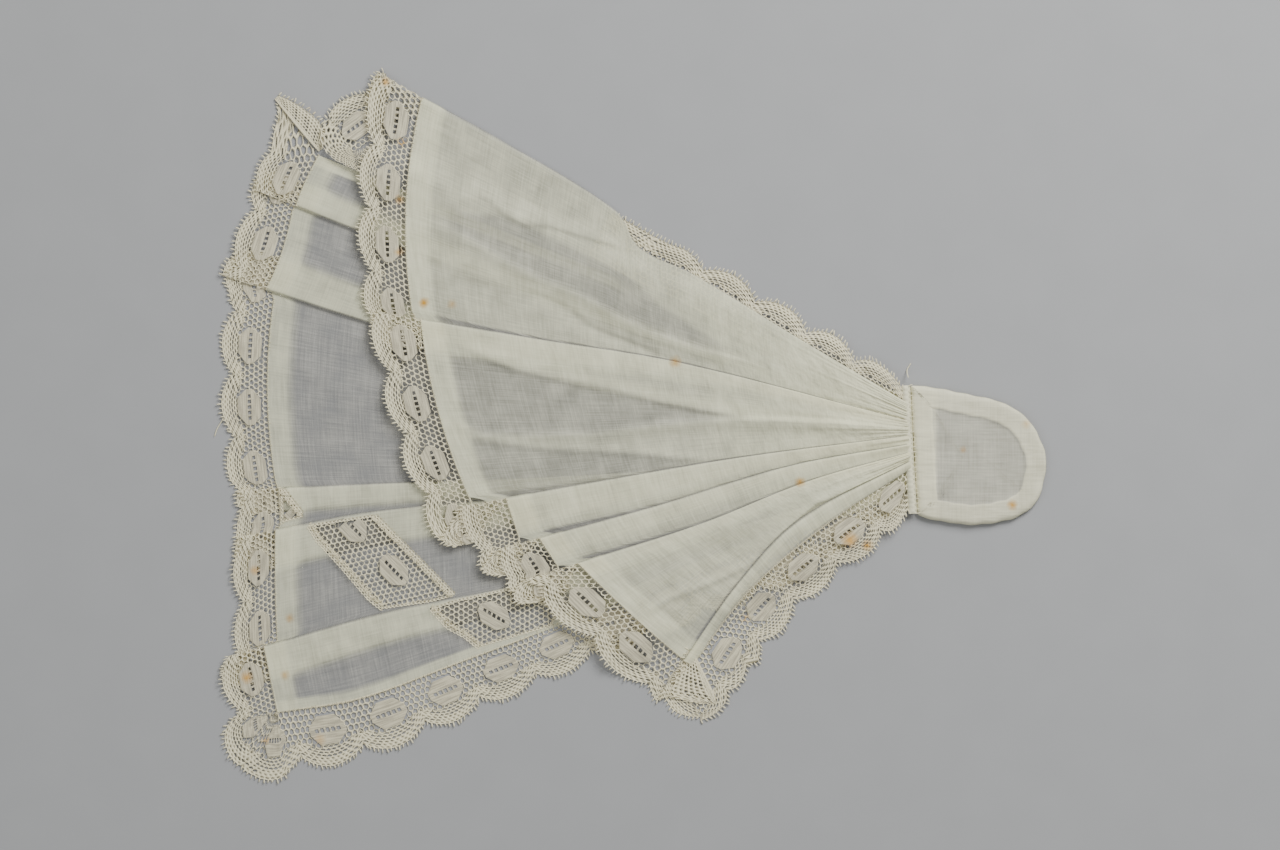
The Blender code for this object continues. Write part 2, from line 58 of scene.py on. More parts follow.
def node(tree, kind, inputs=(), **settings):
    """A new node with some of its own settings, and values or other nodes' sockets at its inputs."""
    made = tree.nodes.new(kind)
    for name, value in settings.items():
        setattr(made, name, value)
    for name, value in dict(inputs).items():
        if isinstance(value, bpy.types.NodeSocket):
            tree.links.new(value, made.inputs[name])
        else:
            made.inputs[name].default_value = value
    return made


def maths(tree, operation, first, second):
    """One sum on values or sockets."""
    return node(tree, "ShaderNodeMath", {0: first, 1: second}, operation=operation).outputs[0]


def cloudy(tree, vector, scale, detail=2.0, stretch=(1.0, 1.0, 1.0), roughness=0.5):
    """Soft noise from 0 to 1, drawn out along the axes."""
    spread = node(tree, "ShaderNodeMapping", {"Vector": vector, "Scale": stretch}).outputs[0]
    inputs = {"Vector": spread, "Scale": scale, "Detail": detail, "Roughness": roughness}
    return node(tree, "ShaderNodeTexNoise", inputs).outputs[0]


def ranged(tree, value, low, high, new_low, new_high):
    """A value moved from one range to another, held inside it."""
    inputs = {"Value": value, "From Min": low, "From Max": high, "To Min": new_low, "To Max": new_high}
    return node(tree, "ShaderNodeMapRange", inputs).outputs[0]


def blended(tree, share, first, second):
    """A colour between two, by a socket's share."""
    first, second = (
        colour if isinstance(colour, bpy.types.NodeSocket) else (*colour, 1.0) for colour in (first, second)
    )
    return node(tree, "ShaderNodeMix", {0: share, 6: first, 7: second}, data_type="RGBA").outputs[2]


def matt(name, roughness, specular=0.5, nap=0.0):
    """A new matt material with a slight nap, its tree and its shader."""
    made = bpy.data.materials.new(name)
    made.use_nodes = True
    shader = made.node_tree.nodes["Principled BSDF"]
    shader.inputs["Roughness"].default_value = roughness
    shader.inputs["Specular IOR Level"].default_value = specular
    shader.inputs["Sheen Weight"].default_value = nap
    shader.inputs["Sheen Roughness"].default_value = 0.5
    return made, made.node_tree, shader


def placed(name, data):
    """A new object in the scene."""
    made = bpy.data.objects.new(name, data)
    bpy.context.scene.collection.objects.link(made)
    return made


board_material, tree, shader = matt("board", 0.9)
place = node(tree, "ShaderNodeTexCoord").outputs["Object"]
mottle = ranged(tree, cloudy(tree, place, 60.0), 0.3, 0.7, 0.0, 1.0)
darker = tuple(0.97 * value for value in BOARD_COLOUR)
tree.links.new(blended(tree, mottle, darker, BOARD_COLOUR), shader.inputs["Base Color"])
board_mesh = bpy.data.meshes.new("board")
board_mesh.from_pydata([(-3, -3, 0), (3, -3, 0), (3, 3, 0), (-3, 3, 0)], [], [(0, 1, 2, 3)])
board_mesh.materials.append(board_material)
placed("board", board_mesh)

for name, spot, size, power in (
    ("key", (0.50, 0.66, 0.66), 0.5, 15.6),
    ("fill", (-1.1, -0.4, 1.2), 1.2, 7.0),
):
    lamp = bpy.data.lights.new(name, "AREA")
    lamp.size = size
    lamp.energy = power
    light = placed(name, lamp)
    light.location = spot
    light.rotation_euler = (-Vector(spot)).to_track_quat("-Z", "Y").to_euler()
world = bpy.data.worlds.new("studio")
world.use_nodes = True
world.node_tree.nodes["Background"].inputs["Color"].default_value = (0.98, 0.99, 1.0, 1.0)
world.node_tree.nodes["Background"].inputs["Strength"].default_value = 0.35
bpy.context.scene.world = world

lens = bpy.data.cameras.new("camera")
lens.sensor_width = SENSOR
lens.lens = SENSOR * CAMERA_HEIGHT / PICTURE_WIDTH
camera = placed("camera", lens)
camera.location = (*PICTURE_CENTRE, CAMERA_HEIGHT)
bpy.context.scene.camera = camera

# Lower frill: one strip of sheer ivory cotton lawn, flared to the hem, laid into five knife pleats
# and gathered at the seam. The hem is turned up nearly 7 mm, so it reads as a whiter band.
MIDDLE = np.array((0.6, 0.5, 0.0))
NECK_X, NECK_Y, NECK_SLANT = 82.0, 7.0, 0.067
SCALLOP = 18.0
FOLD_HEIGHT = 0.8  # how far a pleat's fold stands over the layer below
ROLL_HEIGHT = 0.65  # the same for the upper frill's rolled fold
SOFT_HEIGHT = 0.42  # and for a fold that is pressed down
RESTS = 0.28  # height of the lowest layer over the board
BEND = 0.8  # width over which a layer turns into its fold
GRAIN = 0.96  # the lace takes up the cloth's direction from this share of its depth
HEM_TURN, HEM_SOFT = 6.6, 1.4  # how deep the hem is, and how soft its upper edge looks
HEM_RELIEF = 0.1
BACKED, BACKED_SOFT = 1.2, 4.0  # layers that a pleat behind adds, and how softly they end
PLEAT_MOST = 0.92  # share of a gore's width that a pleat takes at most
FOLD_DIP = 0.25  # share of a layer's height by which it dips into a fold
SWELL = 3.2  # four times what the middle of a gore rises where its swell is 1
LEAST_LACE = 0.8  # share of a pleat's length that its lace has at least
LAWN_COLOUR = (0.815, 0.808, 0.58)
LAWN_SHADE = (0.74, 0.735, 0.525)
DEEP_COLOUR = (0.85, 0.81, 0.53)
# Painted shade: lawn in a single layer is coloured darker and greyer than where layers lie over each other.
PAINTED_SHADE_THIN_COLOUR = (0.54, 0.525, 0.465)
PAINTED_SHADE_THIN_DARK = (0.23, 0.224, 0.20)
RUST = (0.62, 0.30, 0.01)
THREADBARE = 0.56  # share of light that one layer lets through
CLOTH_STEP = 0.9
SIDE_HEM, SIDE_HEM_LAYERS = 3.0, 1.3  # how wide it is, and what it adds to how white it looks
GATHERED = 1.6  # layers that the gathers add at the seam
LOWER_GATHERED = 0.35  # share of the depth that they reach down
STAINS = (
    (-74.0, 103.0, 1.2, 0.8), (-69.1, 84.8, 1.3, 0.9), (-95.8, 95.0, 1.2, 0.8), (-69.8, 67.6, 1.2, 0.8),
    (-69.8, 52.0, 1.2, 0.7), (-62.5, 36.8, 1.3, 1.0), (-54.1, 36.4, 1.2, 0.5), (12.8, 19.1, 1.5, 0.7),
    (50.2, -16.9, 1.3, 0.9), (65.2, -34.4, 2.1, 0.8), (70.3, -35.9, 1.5, 0.9), (33.8, -57.8, 1.2, 0.6),
    (-113.2, -43.4, 1.2, 0.6), (-102.8, -57.8, 1.2, 0.7), (-104.2, -74.8, 1.2, 0.6),
    (-115.6, -75.5, 1.5, 0.8), (-110.2, -94.3, 1.2, 0.6), (-93.8, -94.3, 1.5, 0.4),
    (113.8, -23.8, 1.3, 0.9), (99.1, -7.3, 0.9, 0.5), (118.0, 0.4, 1.2, 0.4),
)
STAIN_RAGGED = 0.0006  # how far a spot's outline wanders, in metres

Gore = namedtuple("Gore", "fold_a hem_a lies_a fold_b hem_b lies_b bulge tip wide swell")
Pleat = namedtuple("Pleat", "over edge at_hem at_neck fall")
Ply = namedtuple("Ply", "gore layer edge inward start end at_hem at_neck beside")
Splay = namedtuple("Splay", "way stretch fade")
LOWER_FOLDS = {
    "top side": (((-10.0, 46.5),), 9.0),
    "first": (((-82.0, 58.0), (-10.0, 31.0)), 0.0),
    "second": (((-82.0, 31.5), (-10.0, 10.0)), -4.0),
    "third": (((-70.0, -17.0), (-10.0, -14.5)), -8.0),
    "fourth": (((-77.0, -25.5), (-10.0, -19.5)), -12.0),
    "fifth": (((-75.0, -56.0), (-36.0, -48.0), (20.0, -33.0)), -16.0),
    "low side": (((-82.0, -82.0), (-49.0, -70.0), (-18.0, -58.5), (32.0, -39.0)), -19.5),
}
LOWER_GORES = (
    Gore("top side", (-94.0, 81.0), "free", "first", (-101.0, 65.5), "over", 0.5, 10.0, 1.0, 0.2),
    Gore("first", (-102.0, 64.5), "under", "second", (-110.0, 40.5), "over", -1.0, 12.0, 1.0, 0.2),
    Gore("second", (-107.5, 38.0), "under", "third", (-107.0, -17.0), "under", 2.2, 15.0, 0.97, 0.3),
    Gore("third", (-106.0, -18.5), "over", "fourth", (-105.5, -29.5), "under", 0.0, 12.0, 0.92, 0.2),
    Gore("fourth", (-107.0, -31.0), "over", "fifth", (-106.5, -64.5), "under", 0.3, 10.5, 0.88, 0.3),
    Gore("fifth", (-110.5, -66.0), "over", "low side", (-106.5, -86.0), "free", 0.0, 9.0, 1.0, 0.3),
)
LOWER_PLEATS = (
    Pleat(0, "b", 8.0, 1.0, 0.0),
    Pleat(1, "b", 11.0, 1.0, 0.0),
    Pleat(3, "a", 7.5, 1.0, 0.0),
    Pleat(4, "a", 12.0, 1.5, 0.0),
    Pleat(5, "a", 11.0, 1.5, 0.0),
)
LOWER_SPLAY = Splay((-0.60, 0.80), 0.55, 4.0)
LIES = {"free": 0.0, "under": 0.0, "soft": SOFT_HEIGHT, "over": FOLD_HEIGHT, "rolled": ROLL_HEIGHT}


def eased(value):
    """A soft step from 0 to 1."""
    value = np.clip(value, 0.0, 1.0)
    return value * value * (3.0 - 2.0 * value)


def bend(share):
    """How far a layer has turned into a fold: 1 at the fold's edge, 0 from one bend away."""
    return 1.0 - np.sqrt(1.0 - (1.0 - np.clip(share, 0.0, 1.0)) ** 2)


def unit(vectors):
    """The same ways, each one long."""
    return vectors / np.linalg.norm(vectors, axis=-1, keepdims=True)


def left_of(ways):
    """Each way turned a quarter round to the left."""
    return np.stack([-ways[..., 1], ways[..., 0]], -1)


def swing(one, other):
    """How far the second way turns to the left of the first: the area between them."""
    return one[..., 0] * other[..., 1] - one[..., 1] * other[..., 0]


def run_along(points):
    """How far each point is along its line."""
    return np.concatenate([[0.0], np.cumsum(np.linalg.norm(np.diff(points, axis=0), axis=1))])


def traced(run, known, table):
    """A table's rows read off between those that are known."""
    return np.stack([np.interp(run, known, column) for column in np.asarray(table).T], axis=-1)


def drawn(places, count=241):
    """Even stations down a smooth line drawn through a few places."""
    points = np.array(places, float)
    ends = run_along(points)
    chords = np.linalg.norm(np.diff(points, axis=0), axis=1)
    run = np.linspace(0.0, ends[-1], count)
    k = np.clip(np.searchsorted(ends, run, side="right") - 1, 0, len(chords) - 1)
    t = ((run - ends[k]) / chords[k])[:, None]
    first = np.diff(points, axis=0) / chords[:, None]
    inner = (points[2:] - points[:-2]) / (chords[1:] + chords[:-1])[:, None]
    slope = np.concatenate([first[:1], inner, first[-1:]])
    reach = chords[k][:, None]
    return (
        points[k] * (2 * t**3 - 3 * t**2 + 1)
        + slope[k] * reach * (t**3 - 2 * t**2 + t)
        + points[k + 1] * (3 * t**2 - 2 * t**3)
        + slope[k + 1] * reach * (t**3 - t**2)
    )


def pleat_depth(pleat, down):
    """How deep a pleat is at each share down the frill."""
    return pleat.at_neck + (pleat.at_hem - pleat.at_neck) * down


def read(table, share):
    """Places on such a line, by share of it."""
    return traced(share, np.linspace(0.0, 1.0, len(table)), table)


def rumple(x, y):
    """The slight unevenness of old lawn, the same for all the layers at one spot."""
    return (
        0.07 * np.sin(x / 11.0 + 0.9) * np.cos(y / 8.0 + 0.4)
        + 0.05 * np.sin(x / 4.3 - y / 6.1)
        + 0.03 * np.sin(y / 2.9 + x / 9.0 + 1.7)
    )


class Tier:
    """One frill's flat strip, and where each point of it lies once it is pleated and gathered."""

    def __init__(self, gores, folds, pleats, rise, splay, flap=None):
        self.gores = gores
        self.pleats = pleats
        self.rise = rise
        self.splay = splay
        self.sides = []
        for gore in gores:
            pair = []
            for fold, hem in ((gore.fold_a, gore.hem_a), (gore.fold_b, gore.hem_b)):
                middle, neck_y = folds[fold]
                neck = (NECK_X + (NECK_Y - neck_y) * NECK_SLANT, neck_y)
                pair.append(drawn((neck, *reversed(middle), hem)))
            self.sides.append(pair)
        self.plies = []
        run = 0.0
        if flap:
            run = flap[0]
            self.plies.append(Ply(0, "flap", "a", False, 0.0, run, *flap, 0))
        for index, gore in enumerate(gores):
            long = math.dist(gore.hem_a, gore.hem_b)
            self.plies.append(Ply(index, "top", "", True, run, run + long, 0.0, 0.0, index))
            run += long
            for pleat in pleats[index : index + 1]:
                hidden = ("middle", "low") if pleat.edge == "b" else ("low", "middle")
                for layer, inward in zip(hidden, (True, False)):
                    ends = (run, run + pleat.at_hem)
                    beside = index + (pleat.edge == "b")
                    deep = (pleat.at_hem, pleat.at_neck)
                    self.plies.append(Ply(pleat.over, layer, pleat.edge, inward, *ends, *deep, beside))
                    run += pleat.at_hem
        self.run = run

    def spot(self, index, across, down):
        """A place on a gore: across it from 0 to 1, and down it from the seam to the hem."""
        a, b = (read(side, down) for side in self.sides[index])
        across = np.asarray(across)[..., None]
        bow = self.gores[index].bulge * 4 * across * (1 - across) * np.asarray(down)[..., None] ** 2
        return a + (b - a) * across + self.hem_out(index) * bow

    def hem_out(self, index):
        """The way out from a gore's hem."""
        return -left_of(unit(np.subtract(self.gores[index].hem_b, self.gores[index].hem_a)))

    def width(self, index, down):
        """A gore's width at each share down it."""
        a, b = (read(side, down) for side in self.sides[index])
        return np.linalg.norm(b - a, axis=-1)

    def profile(self, index, across):
        """A gore's height, from fold to fold."""
        gore = self.gores[index]
        height = LIES[gore.lies_a] + (LIES[gore.lies_b] - LIES[gore.lies_a]) * across
        return height + gore.swell * SWELL * across * (1 - across)

    def across(self, ply, run, down):
        """Where a point of a ply lies across its gore, and how deep in its pleat, from 0 to 1."""
        t = (run - ply.start) / (ply.end - ply.start)
        if ply.layer == "top":
            return t, t
        deep = t if ply.inward else 1.0 - t
        share = np.minimum(PLEAT_MOST, pleat_depth(ply, down) / self.width(ply.gore, down))
        return (share * deep if ply.edge == "a" else 1.0 - share * deep), deep

    def lay(self, run, down):
        """Places, heights over what the tier lies on, and which way up, for points of the strip."""
        place = np.zeros(run.shape + (2,))
        height = np.zeros(run.shape)
        face = np.ones(run.shape)
        for ply in self.plies:
            here = (run >= ply.start - 1e-9) & (run <= ply.end + 1e-9)
            if not here.any():
                continue
            low = down[here]
            across, deep = self.across(ply, run[here], low)
            spots = self.spot(ply.gore, across, low)
            width = self.width(ply.gore, low)
            profile = self.profile(ply.gore, across)
            gore = self.gores[ply.gore]

            def dip(away):
                """How far the layer dips this far from a fold."""
                return FOLD_DIP * profile * bend(away / BEND)

            if ply.layer == "top":
                rises = profile.copy()
                if gore.lies_a in ("soft", "over", "rolled"):
                    rises -= dip(across * width)
                if gore.lies_b == "over":
                    rises -= dip((1 - across) * width)
            else:
                depth = np.minimum(PLEAT_MOST * width, pleat_depth(ply, low))
                outer = dip(deep * depth)
                inner = dip((1 - deep) * depth)
                if ply.layer == "flap":
                    rises = 3 * outer
                    face[here] = -1.0
                elif ply.layer == "middle":
                    rises = 0.5 * profile + outer - inner
                    face[here] = -1.0
                else:
                    rises = inner
                    under = self.spot(ply.beside, np.full(low.shape, 0.0 if ply.edge == "b" else 1.0), low)
                    spots += (under - spots) * ((1 - deep) ** 2)[..., None]
            place[here] = spots
            height[here] = rises
        return place, height, face

    def backed(self, run, down):
        """Where the uppermost layer has a pleat's two other layers behind it."""
        share = np.zeros(run.shape)
        tops = {ply.gore: ply for ply in self.plies if ply.layer == "top"}
        for pleat in self.pleats:
            ply = tops[pleat.over]
            here = (run > ply.start) & (run < ply.end)
            across = (run[here] - ply.start) / (ply.end - ply.start)
            away = (across if pleat.edge == "a" else 1 - across) * self.width(pleat.over, down[here])
            past = away - pleat_depth(pleat, down[here])
            share[here] = np.maximum(share[here], 1 - eased(past / BACKED_SOFT + 0.5))
        return share

    def lace_out(self, run):
        """How the lace runs out from the hem, for each millimetre of its width."""
        out = np.zeros(run.shape + (2,))
        for ply in self.plies:
            here = (run >= ply.start - 1e-9) & (run <= ply.end + 1e-9)
            hem = np.ones(here.sum())
            across, deep = self.across(ply, run[here], hem)
            ways = self.gore_lace_out(ply.gore, across)
            if ply.layer == "low":
                under = self.gore_lace_out(ply.beside, np.full(hem.shape, 0.0 if ply.edge == "b" else 1.0))
                ways += (under - ways) * ((1 - deep) ** 2)[..., None]
            out[here] = ways
        return out

    def gore_lace_out(self, index, across):
        """The same for places across one gore: with the grain, splayed at the first side."""
        hem = np.ones(across.shape)
        along = unit(self.spot(index, across, hem) - self.spot(index, across, GRAIN * hem))
        stretch = np.zeros(across.shape + (1,))
        if index == 0:
            stretch[..., 0] = np.clip(1 - self.splay.fade * across, 0.0, 1.0)
            along = unit(along + (np.array(self.splay.way) - along) * stretch)
            stretch *= self.splay.stretch
        square = np.clip(along @ self.hem_out(index), 0.5, 1.0)[..., None]
        return along * self.gores[index].wide * (1 + stretch) / square

    def pattern_runs(self):
        """Runs along the strip, and the place in the lace's pattern at each: scallops tip at 0."""
        runs = []
        pattern = []
        at = -self.gores[0].tip
        for ply in self.plies:
            if ply.layer == "top":
                if runs:
                    least = at + LEAST_LACE * (ply.start - runs[-1])
                    at = math.ceil((least + self.gores[ply.gore].tip) / SCALLOP) * SCALLOP
                    at -= self.gores[ply.gore].tip
                runs += [ply.start, ply.end]
                pattern += [at, at + ply.end - ply.start]
                at = pattern[-1]
        return np.array(runs), np.array(pattern)


def shape(name, points, faces, material, sheet_map=None, layers=None, smooth=True):
    """A mesh object from places in the tables' millimetres."""
    mesh = bpy.data.meshes.new(name)
    mesh.from_pydata(((points - MIDDLE) * MM).tolist(), [], faces.tolist())
    mesh.materials.append(material)
    if sheet_map is not None:
        corners = np.empty(len(mesh.loops), np.int32)
        mesh.loops.foreach_get("vertex_index", corners)
        flat = mesh.uv_layers.new(name="flat")
        flat.data.foreach_set("uv", sheet_map[corners].astype(np.float32).ravel())
    if layers is not None:
        counted = mesh.attributes.new("layers", "FLOAT", "POINT")
        counted.data.foreach_set("value", layers.astype(np.float32))
    if smooth:
        mesh.shade_smooth()
    piece = placed(name, mesh)
    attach(piece, "root")
    return piece


def grid_faces(rows, columns, closed=False):
    """The quads of a grid of points, whose last column meets its first where it is closed."""
    number = np.arange(rows * columns).reshape(rows, columns)
    if closed:
        number = np.column_stack([number, number[:, :1]])
    corners = (number[:-1, :-1], number[1:, :-1], number[1:, 1:], number[:-1, 1:])
    return np.stack([corner.ravel() for corner in corners], axis=1)


def frill_sheet(tier, rows, extra):
    """The points, faces, flat map and layer count of a frill's cloth."""
    runs = []
    for ply in tier.plies:
        steps = max(6, round((ply.end - ply.start) / CLOTH_STEP))
        runs.append(np.linspace(ply.start, ply.end, steps + 1)[:-1])
    runs = np.concatenate([*runs, [tier.run]])
    downs = np.linspace(0.0, 1.0, rows + 1)
    run, down = np.meshgrid(runs, downs)
    run, down = run.ravel(), down.ravel()
    place, height, face = tier.lay(run, down)
    x, y = place.T
    from_hem = np.zeros(len(run))
    for ply in tier.plies:
        here = (run >= ply.start) & (run <= ply.end)
        lengths = [run_along(side)[-1] for side in tier.sides[ply.gore]]
        from_hem[here] = (1 - down[here]) * sum(lengths) / 2
    hem = 1 - eased((from_hem - HEM_TURN) / HEM_SOFT + 0.3)
    layers, relief = extra(run, down, x, y)
    layers = layers + BACKED * tier.backed(run, down)
    z = RESTS + tier.rise(x, y) + height + rumple(x, y) + face * (HEM_RELIEF * hem + relief)
    flat = np.stack([run, -from_hem], axis=1)
    return np.stack([x, y, z], axis=1), grid_faces(rows + 1, len(runs)), flat, layers + hem


def weighed(tree, *parts):
    """The sum of some sockets, each times its weight."""
    total, *others = [maths(tree, "MULTIPLY", *part) for part in parts]
    for other in others:
        total = maths(tree, "ADD", total, other)
    return total


def rust_spots():
    """A node group that says how strong the rust is at a place."""
    group = bpy.data.node_groups.new("rust spots", "ShaderNodeTree")
    group.interface.new_socket("Place", in_out="INPUT", socket_type="NodeSocketVector")
    group.interface.new_socket("Spot", in_out="OUTPUT", socket_type="NodeSocketFloat")
    start = node(group, "NodeGroupInput").outputs["Place"]
    wander = node(group, "ShaderNodeTexNoise", {"Vector": start, "Scale": 900.0}).outputs["Color"]
    ragged = {0: wander, 1: (2 * STAIN_RAGGED, 2 * STAIN_RAGGED, 0.0), 2: start}
    shifted = node(group, "ShaderNodeVectorMath", ragged, operation="MULTIPLY_ADD").outputs[0]
    from_above = {0: shifted, 1: (1.0, 1.0, 0.0)}
    flat = node(group, "ShaderNodeVectorMath", from_above, operation="MULTIPLY").outputs[0]
    total = 0.0
    for x, y, radius, strength in STAINS:
        centre = (np.array((x, y, 0.0)) - MIDDLE) * MM + (STAIN_RAGGED, STAIN_RAGGED, 0.0)
        away = node(group, "ShaderNodeVectorMath", {0: flat, 1: centre}, operation="DISTANCE")
        reach = (0.15 * radius * MM, 1.5 * radius * MM)
        spot = ranged(group, away.outputs["Value"], *reach, strength, 0.0)
        total = maths(group, "MAXIMUM", total, spot)
    node(group, "NodeGroupOutput", {"Spot": total})
    return group


rust = rust_spots()


def stained(tree, colour, place):
    """A colour with the rust spots."""
    spot = node(tree, "ShaderNodeGroup", node_tree=rust)
    tree.links.new(place, spot.inputs["Place"])
    return blended(tree, maths(tree, "MULTIPLY", spot.outputs["Spot"], 0.95), colour, RUST)


def raised(tree, shader, height, distance):
    """Fine relief on the shader."""
    bump = node(tree, "ShaderNodeBump", {"Strength": 0.5, "Distance": distance, "Height": height})
    tree.links.new(bump.outputs[0], shader.inputs["Normal"])


def sheet_sockets(tree):
    """A sheet's flat map, its place in the scene and its count of layers."""
    return (
        node(tree, "ShaderNodeUVMap", uv_map="flat").outputs["UV"],
        node(tree, "ShaderNodeTexCoord").outputs["Object"],
        node(tree, "ShaderNodeAttribute", attribute_name="layers").outputs["Fac"],
    )


def woven_lawn(name, threadbare, shade, colour, shaded_thin_dark, shaded_thin_colour):
    """Sheer cotton lawn: fine uneven threads both ways, denser where layers lie over each other. Where it
    lies in a single layer its colours are a painted shade, darker and greyer.
    """
    made, tree, shader = matt(name, 0.88, 0.25, 0.12)
    flat, place, layers = sheet_sockets(tree)
    warp = cloudy(tree, flat, 1.0, 3.0, (2.2, 0.07, 1.0), 0.6)
    weft = cloudy(tree, flat, 1.0, 3.0, (0.07, 2.2, 1.0), 0.6)
    threads = weighed(tree, (warp, 0.5), (weft, 0.5))
    cloud = cloudy(tree, place, 130.0, 3.0)
    uneven = ranged(tree, cloud, 0.3, 0.7, -0.25, 0.25)
    density = maths(tree, "ADD", ranged(tree, threads, 0.38, 0.62, 0.82, 1.18), uneven)
    clear = maths(tree, "POWER", threadbare, maths(tree, "MULTIPLY", layers, density))
    tree.links.new(maths(tree, "SUBTRACT", 1.0, clear), shader.inputs["Alpha"])
    tone = ranged(tree, weighed(tree, (threads, 1.0), (cloud, 0.4)), 0.55, 0.85, 0.0, 1.0)
    # Painted shade: towards a single layer the colour turns to the darker, greyer thin colours.
    thin = ranged(tree, layers, 1.0, 2.1, 1.0, 0.0)
    deep = ranged(tree, layers, 2.6, 5.0, 0.0, 1.0)
    backed = blended(tree, deep, blended(tree, tone, shade, colour), DEEP_COLOUR)
    single = blended(tree, tone, shaded_thin_dark, shaded_thin_colour)
    tree.links.new(stained(tree, blended(tree, thin, backed, single), place), shader.inputs["Base Color"])
    worn = cloudy(tree, flat, 1.0, 3.0, (0.035, 0.16, 1.0), 0.55)
    raised(tree, shader, weighed(tree, (threads, 0.35), (worn, 10.0)), 0.0002)
    return made


# Creases: points, rise, and how far each falls away above and below the line.
Crease = namedtuple("Crease", "points rise above below")
LOWER_CREASES = (
    Crease(((-104.0, 60.0), (-96.0, 52.0), (-84.0, 47.0), (-72.0, 45.0)), 0.25, 2.5, 4.0),
    Crease(((-104.0, 22.0), (-92.0, 12.0), (-80.0, 8.0), (-64.0, 6.0)), 0.3, 5.0, 2.5),
    Crease(((-106.0, 2.0), (-95.0, -4.0), (-82.0, -3.0), (-66.0, -7.0)), -0.3, 3.0, 4.5),
    Crease(((-103.0, -43.0), (-90.0, -46.0), (-78.0, -43.0)), 0.25, 2.0, 3.0),
    Crease(((-104.0, -72.0), (-88.0, -69.0), (-70.0, -64.0), (-52.0, -61.0)), 0.3, 2.0, 4.0),
    Crease(((-100.0, -79.0), (-84.0, -74.0), (-66.0, -69.0)), -0.25, 2.5, 2.0),
)


def creased(x, y, creases):
    """Soft ridges and troughs beside drawn lines, each steeper on one side."""
    total = np.zeros(x.shape)
    for crease in creases:
        best = np.full(x.shape, 1e9)
        signed = np.zeros(x.shape)
        place = np.zeros(x.shape)
        points = np.array(crease.points)
        lengths = np.linalg.norm(np.diff(points, axis=0), axis=1)
        for k, (a, b) in enumerate(zip(points, points[1:])):
            along = (b - a) / lengths[k]
            reach = (x - a[0]) * along[0] + (y - a[1]) * along[1]
            clipped = np.clip(reach, 0, lengths[k])
            away = np.hypot(x - a[0] - along[0] * clipped, y - a[1] - along[1] * clipped)
            nearer = away < best
            best = np.where(nearer, away, best)
            signed = np.where(nearer, np.sign(along[0] * (y - a[1]) - along[1] * (x - a[0])), signed)
            place = np.where(nearer, lengths[:k].sum() + clipped, place)
        spread = np.where(signed > 0, crease.above, crease.below)
        ends = eased(place / 8.0) * eased((lengths.sum() - place) / 12.0)
        total += crease.rise * np.exp(-((best / spread) ** 2)) * (0.25 + 0.75 * ends)
    return total


lawn = woven_lawn("lawn", THREADBARE, LAWN_SHADE, LAWN_COLOUR, PAINTED_SHADE_THIN_DARK, PAINTED_SHADE_THIN_COLOUR)


def on_board(x, y):
    """The lower frill and what is sewn to it lie on the board itself."""
    return 0 * x * y


lower = Tier(LOWER_GORES, LOWER_FOLDS, LOWER_PLEATS, on_board, LOWER_SPLAY)


def lower_layers(run, down, x, y):
    """One layer, more towards the gathers, and more again in the narrow hems down both sides."""
    layers = 1.0 + GATHERED * eased((LOWER_GATHERED - down) / LOWER_GATHERED)
    for ply, side in ((lower.plies[0], 0.0), (lower.plies[-1], 1.0)):
        here = (run >= ply.start) & (run <= ply.end)
        across = (run[here] - ply.start) / (ply.end - ply.start)
        away = np.abs(side - across) * lower.width(ply.gore, down[here])
        layers[here] += SIDE_HEM_LAYERS * (1 - eased((away - SIDE_HEM) / 0.8 + 0.5))
    return layers, creased(x, y, LOWER_CREASES)


lower_points, lower_faces, lower_flat, lower_plies = frill_sheet(lower, rows=110, extra=lower_layers)
lower_tree = BVHTree.FromPolygons(lower_points.tolist(), lower_faces.tolist())

INSERTIONS = {
    "insertion_centre": ((-105.2, -18.8), (-98.7, -27.2), (-105.0, -28.9)),
    "insertion_middle": (
        (-97.0, -29.8), (-77.5, -26.9), (-53.6, -51.0), (-61.0, -52.8),
        (-75.0, -54.8), (-79.0, -51.5), (-87.0, -42.0), (-94.0, -34.5),
    ),
    "insertion_low": (
        (-60.2, -54.7), (-53.0, -52.4), (-35.0, -48.5), (-22.0, -55.0), (-24.5, -60.0),
        (-46.0, -66.3), (-50.0, -63.0), (-55.5, -60.0),
    ),
}


def within(points, corners):
    """Which points lie inside a drawn outline."""
    inside = np.zeros(len(points), bool)
    x, y = points[:, 0], points[:, 1]
    for (ax, ay), (bx, by) in zip(corners, (*corners[1:], corners[0])):
        crossed = (ay > y) != (by > y)
        with np.errstate(divide="ignore", invalid="ignore"):
            inside ^= crossed & (x < (bx - ax) * (y - ay) / (by - ay) + ax)
    return inside


centres = lower_points[lower_faces].mean(axis=1)
runs = lower_flat[lower_faces][:, :, 0].mean(axis=1)
cut_away = np.zeros(len(lower_faces), bool)
for corners in INSERTIONS.values():
    cut_away |= within(centres, corners)
shown = np.zeros(len(lower_faces), bool)
for ply in lower.plies:
    if ply.layer == "top" and ply.gore >= 3:
        shown |= (runs > ply.start) & (runs < ply.end)


def frill_piece(name, cloth):
    """A frill as one piece of lawn, with its part from the model hidden."""
    points, faces, flat, layers = cloth
    piece = shape(name + "_cloth", points, faces, lawn, flat, layers)
    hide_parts(name)


lower_cloth = (lower_points, lower_faces[~(cut_away & shown)], lower_flat, lower_plies)
frill_piece("lower_frill", lower_cloth)

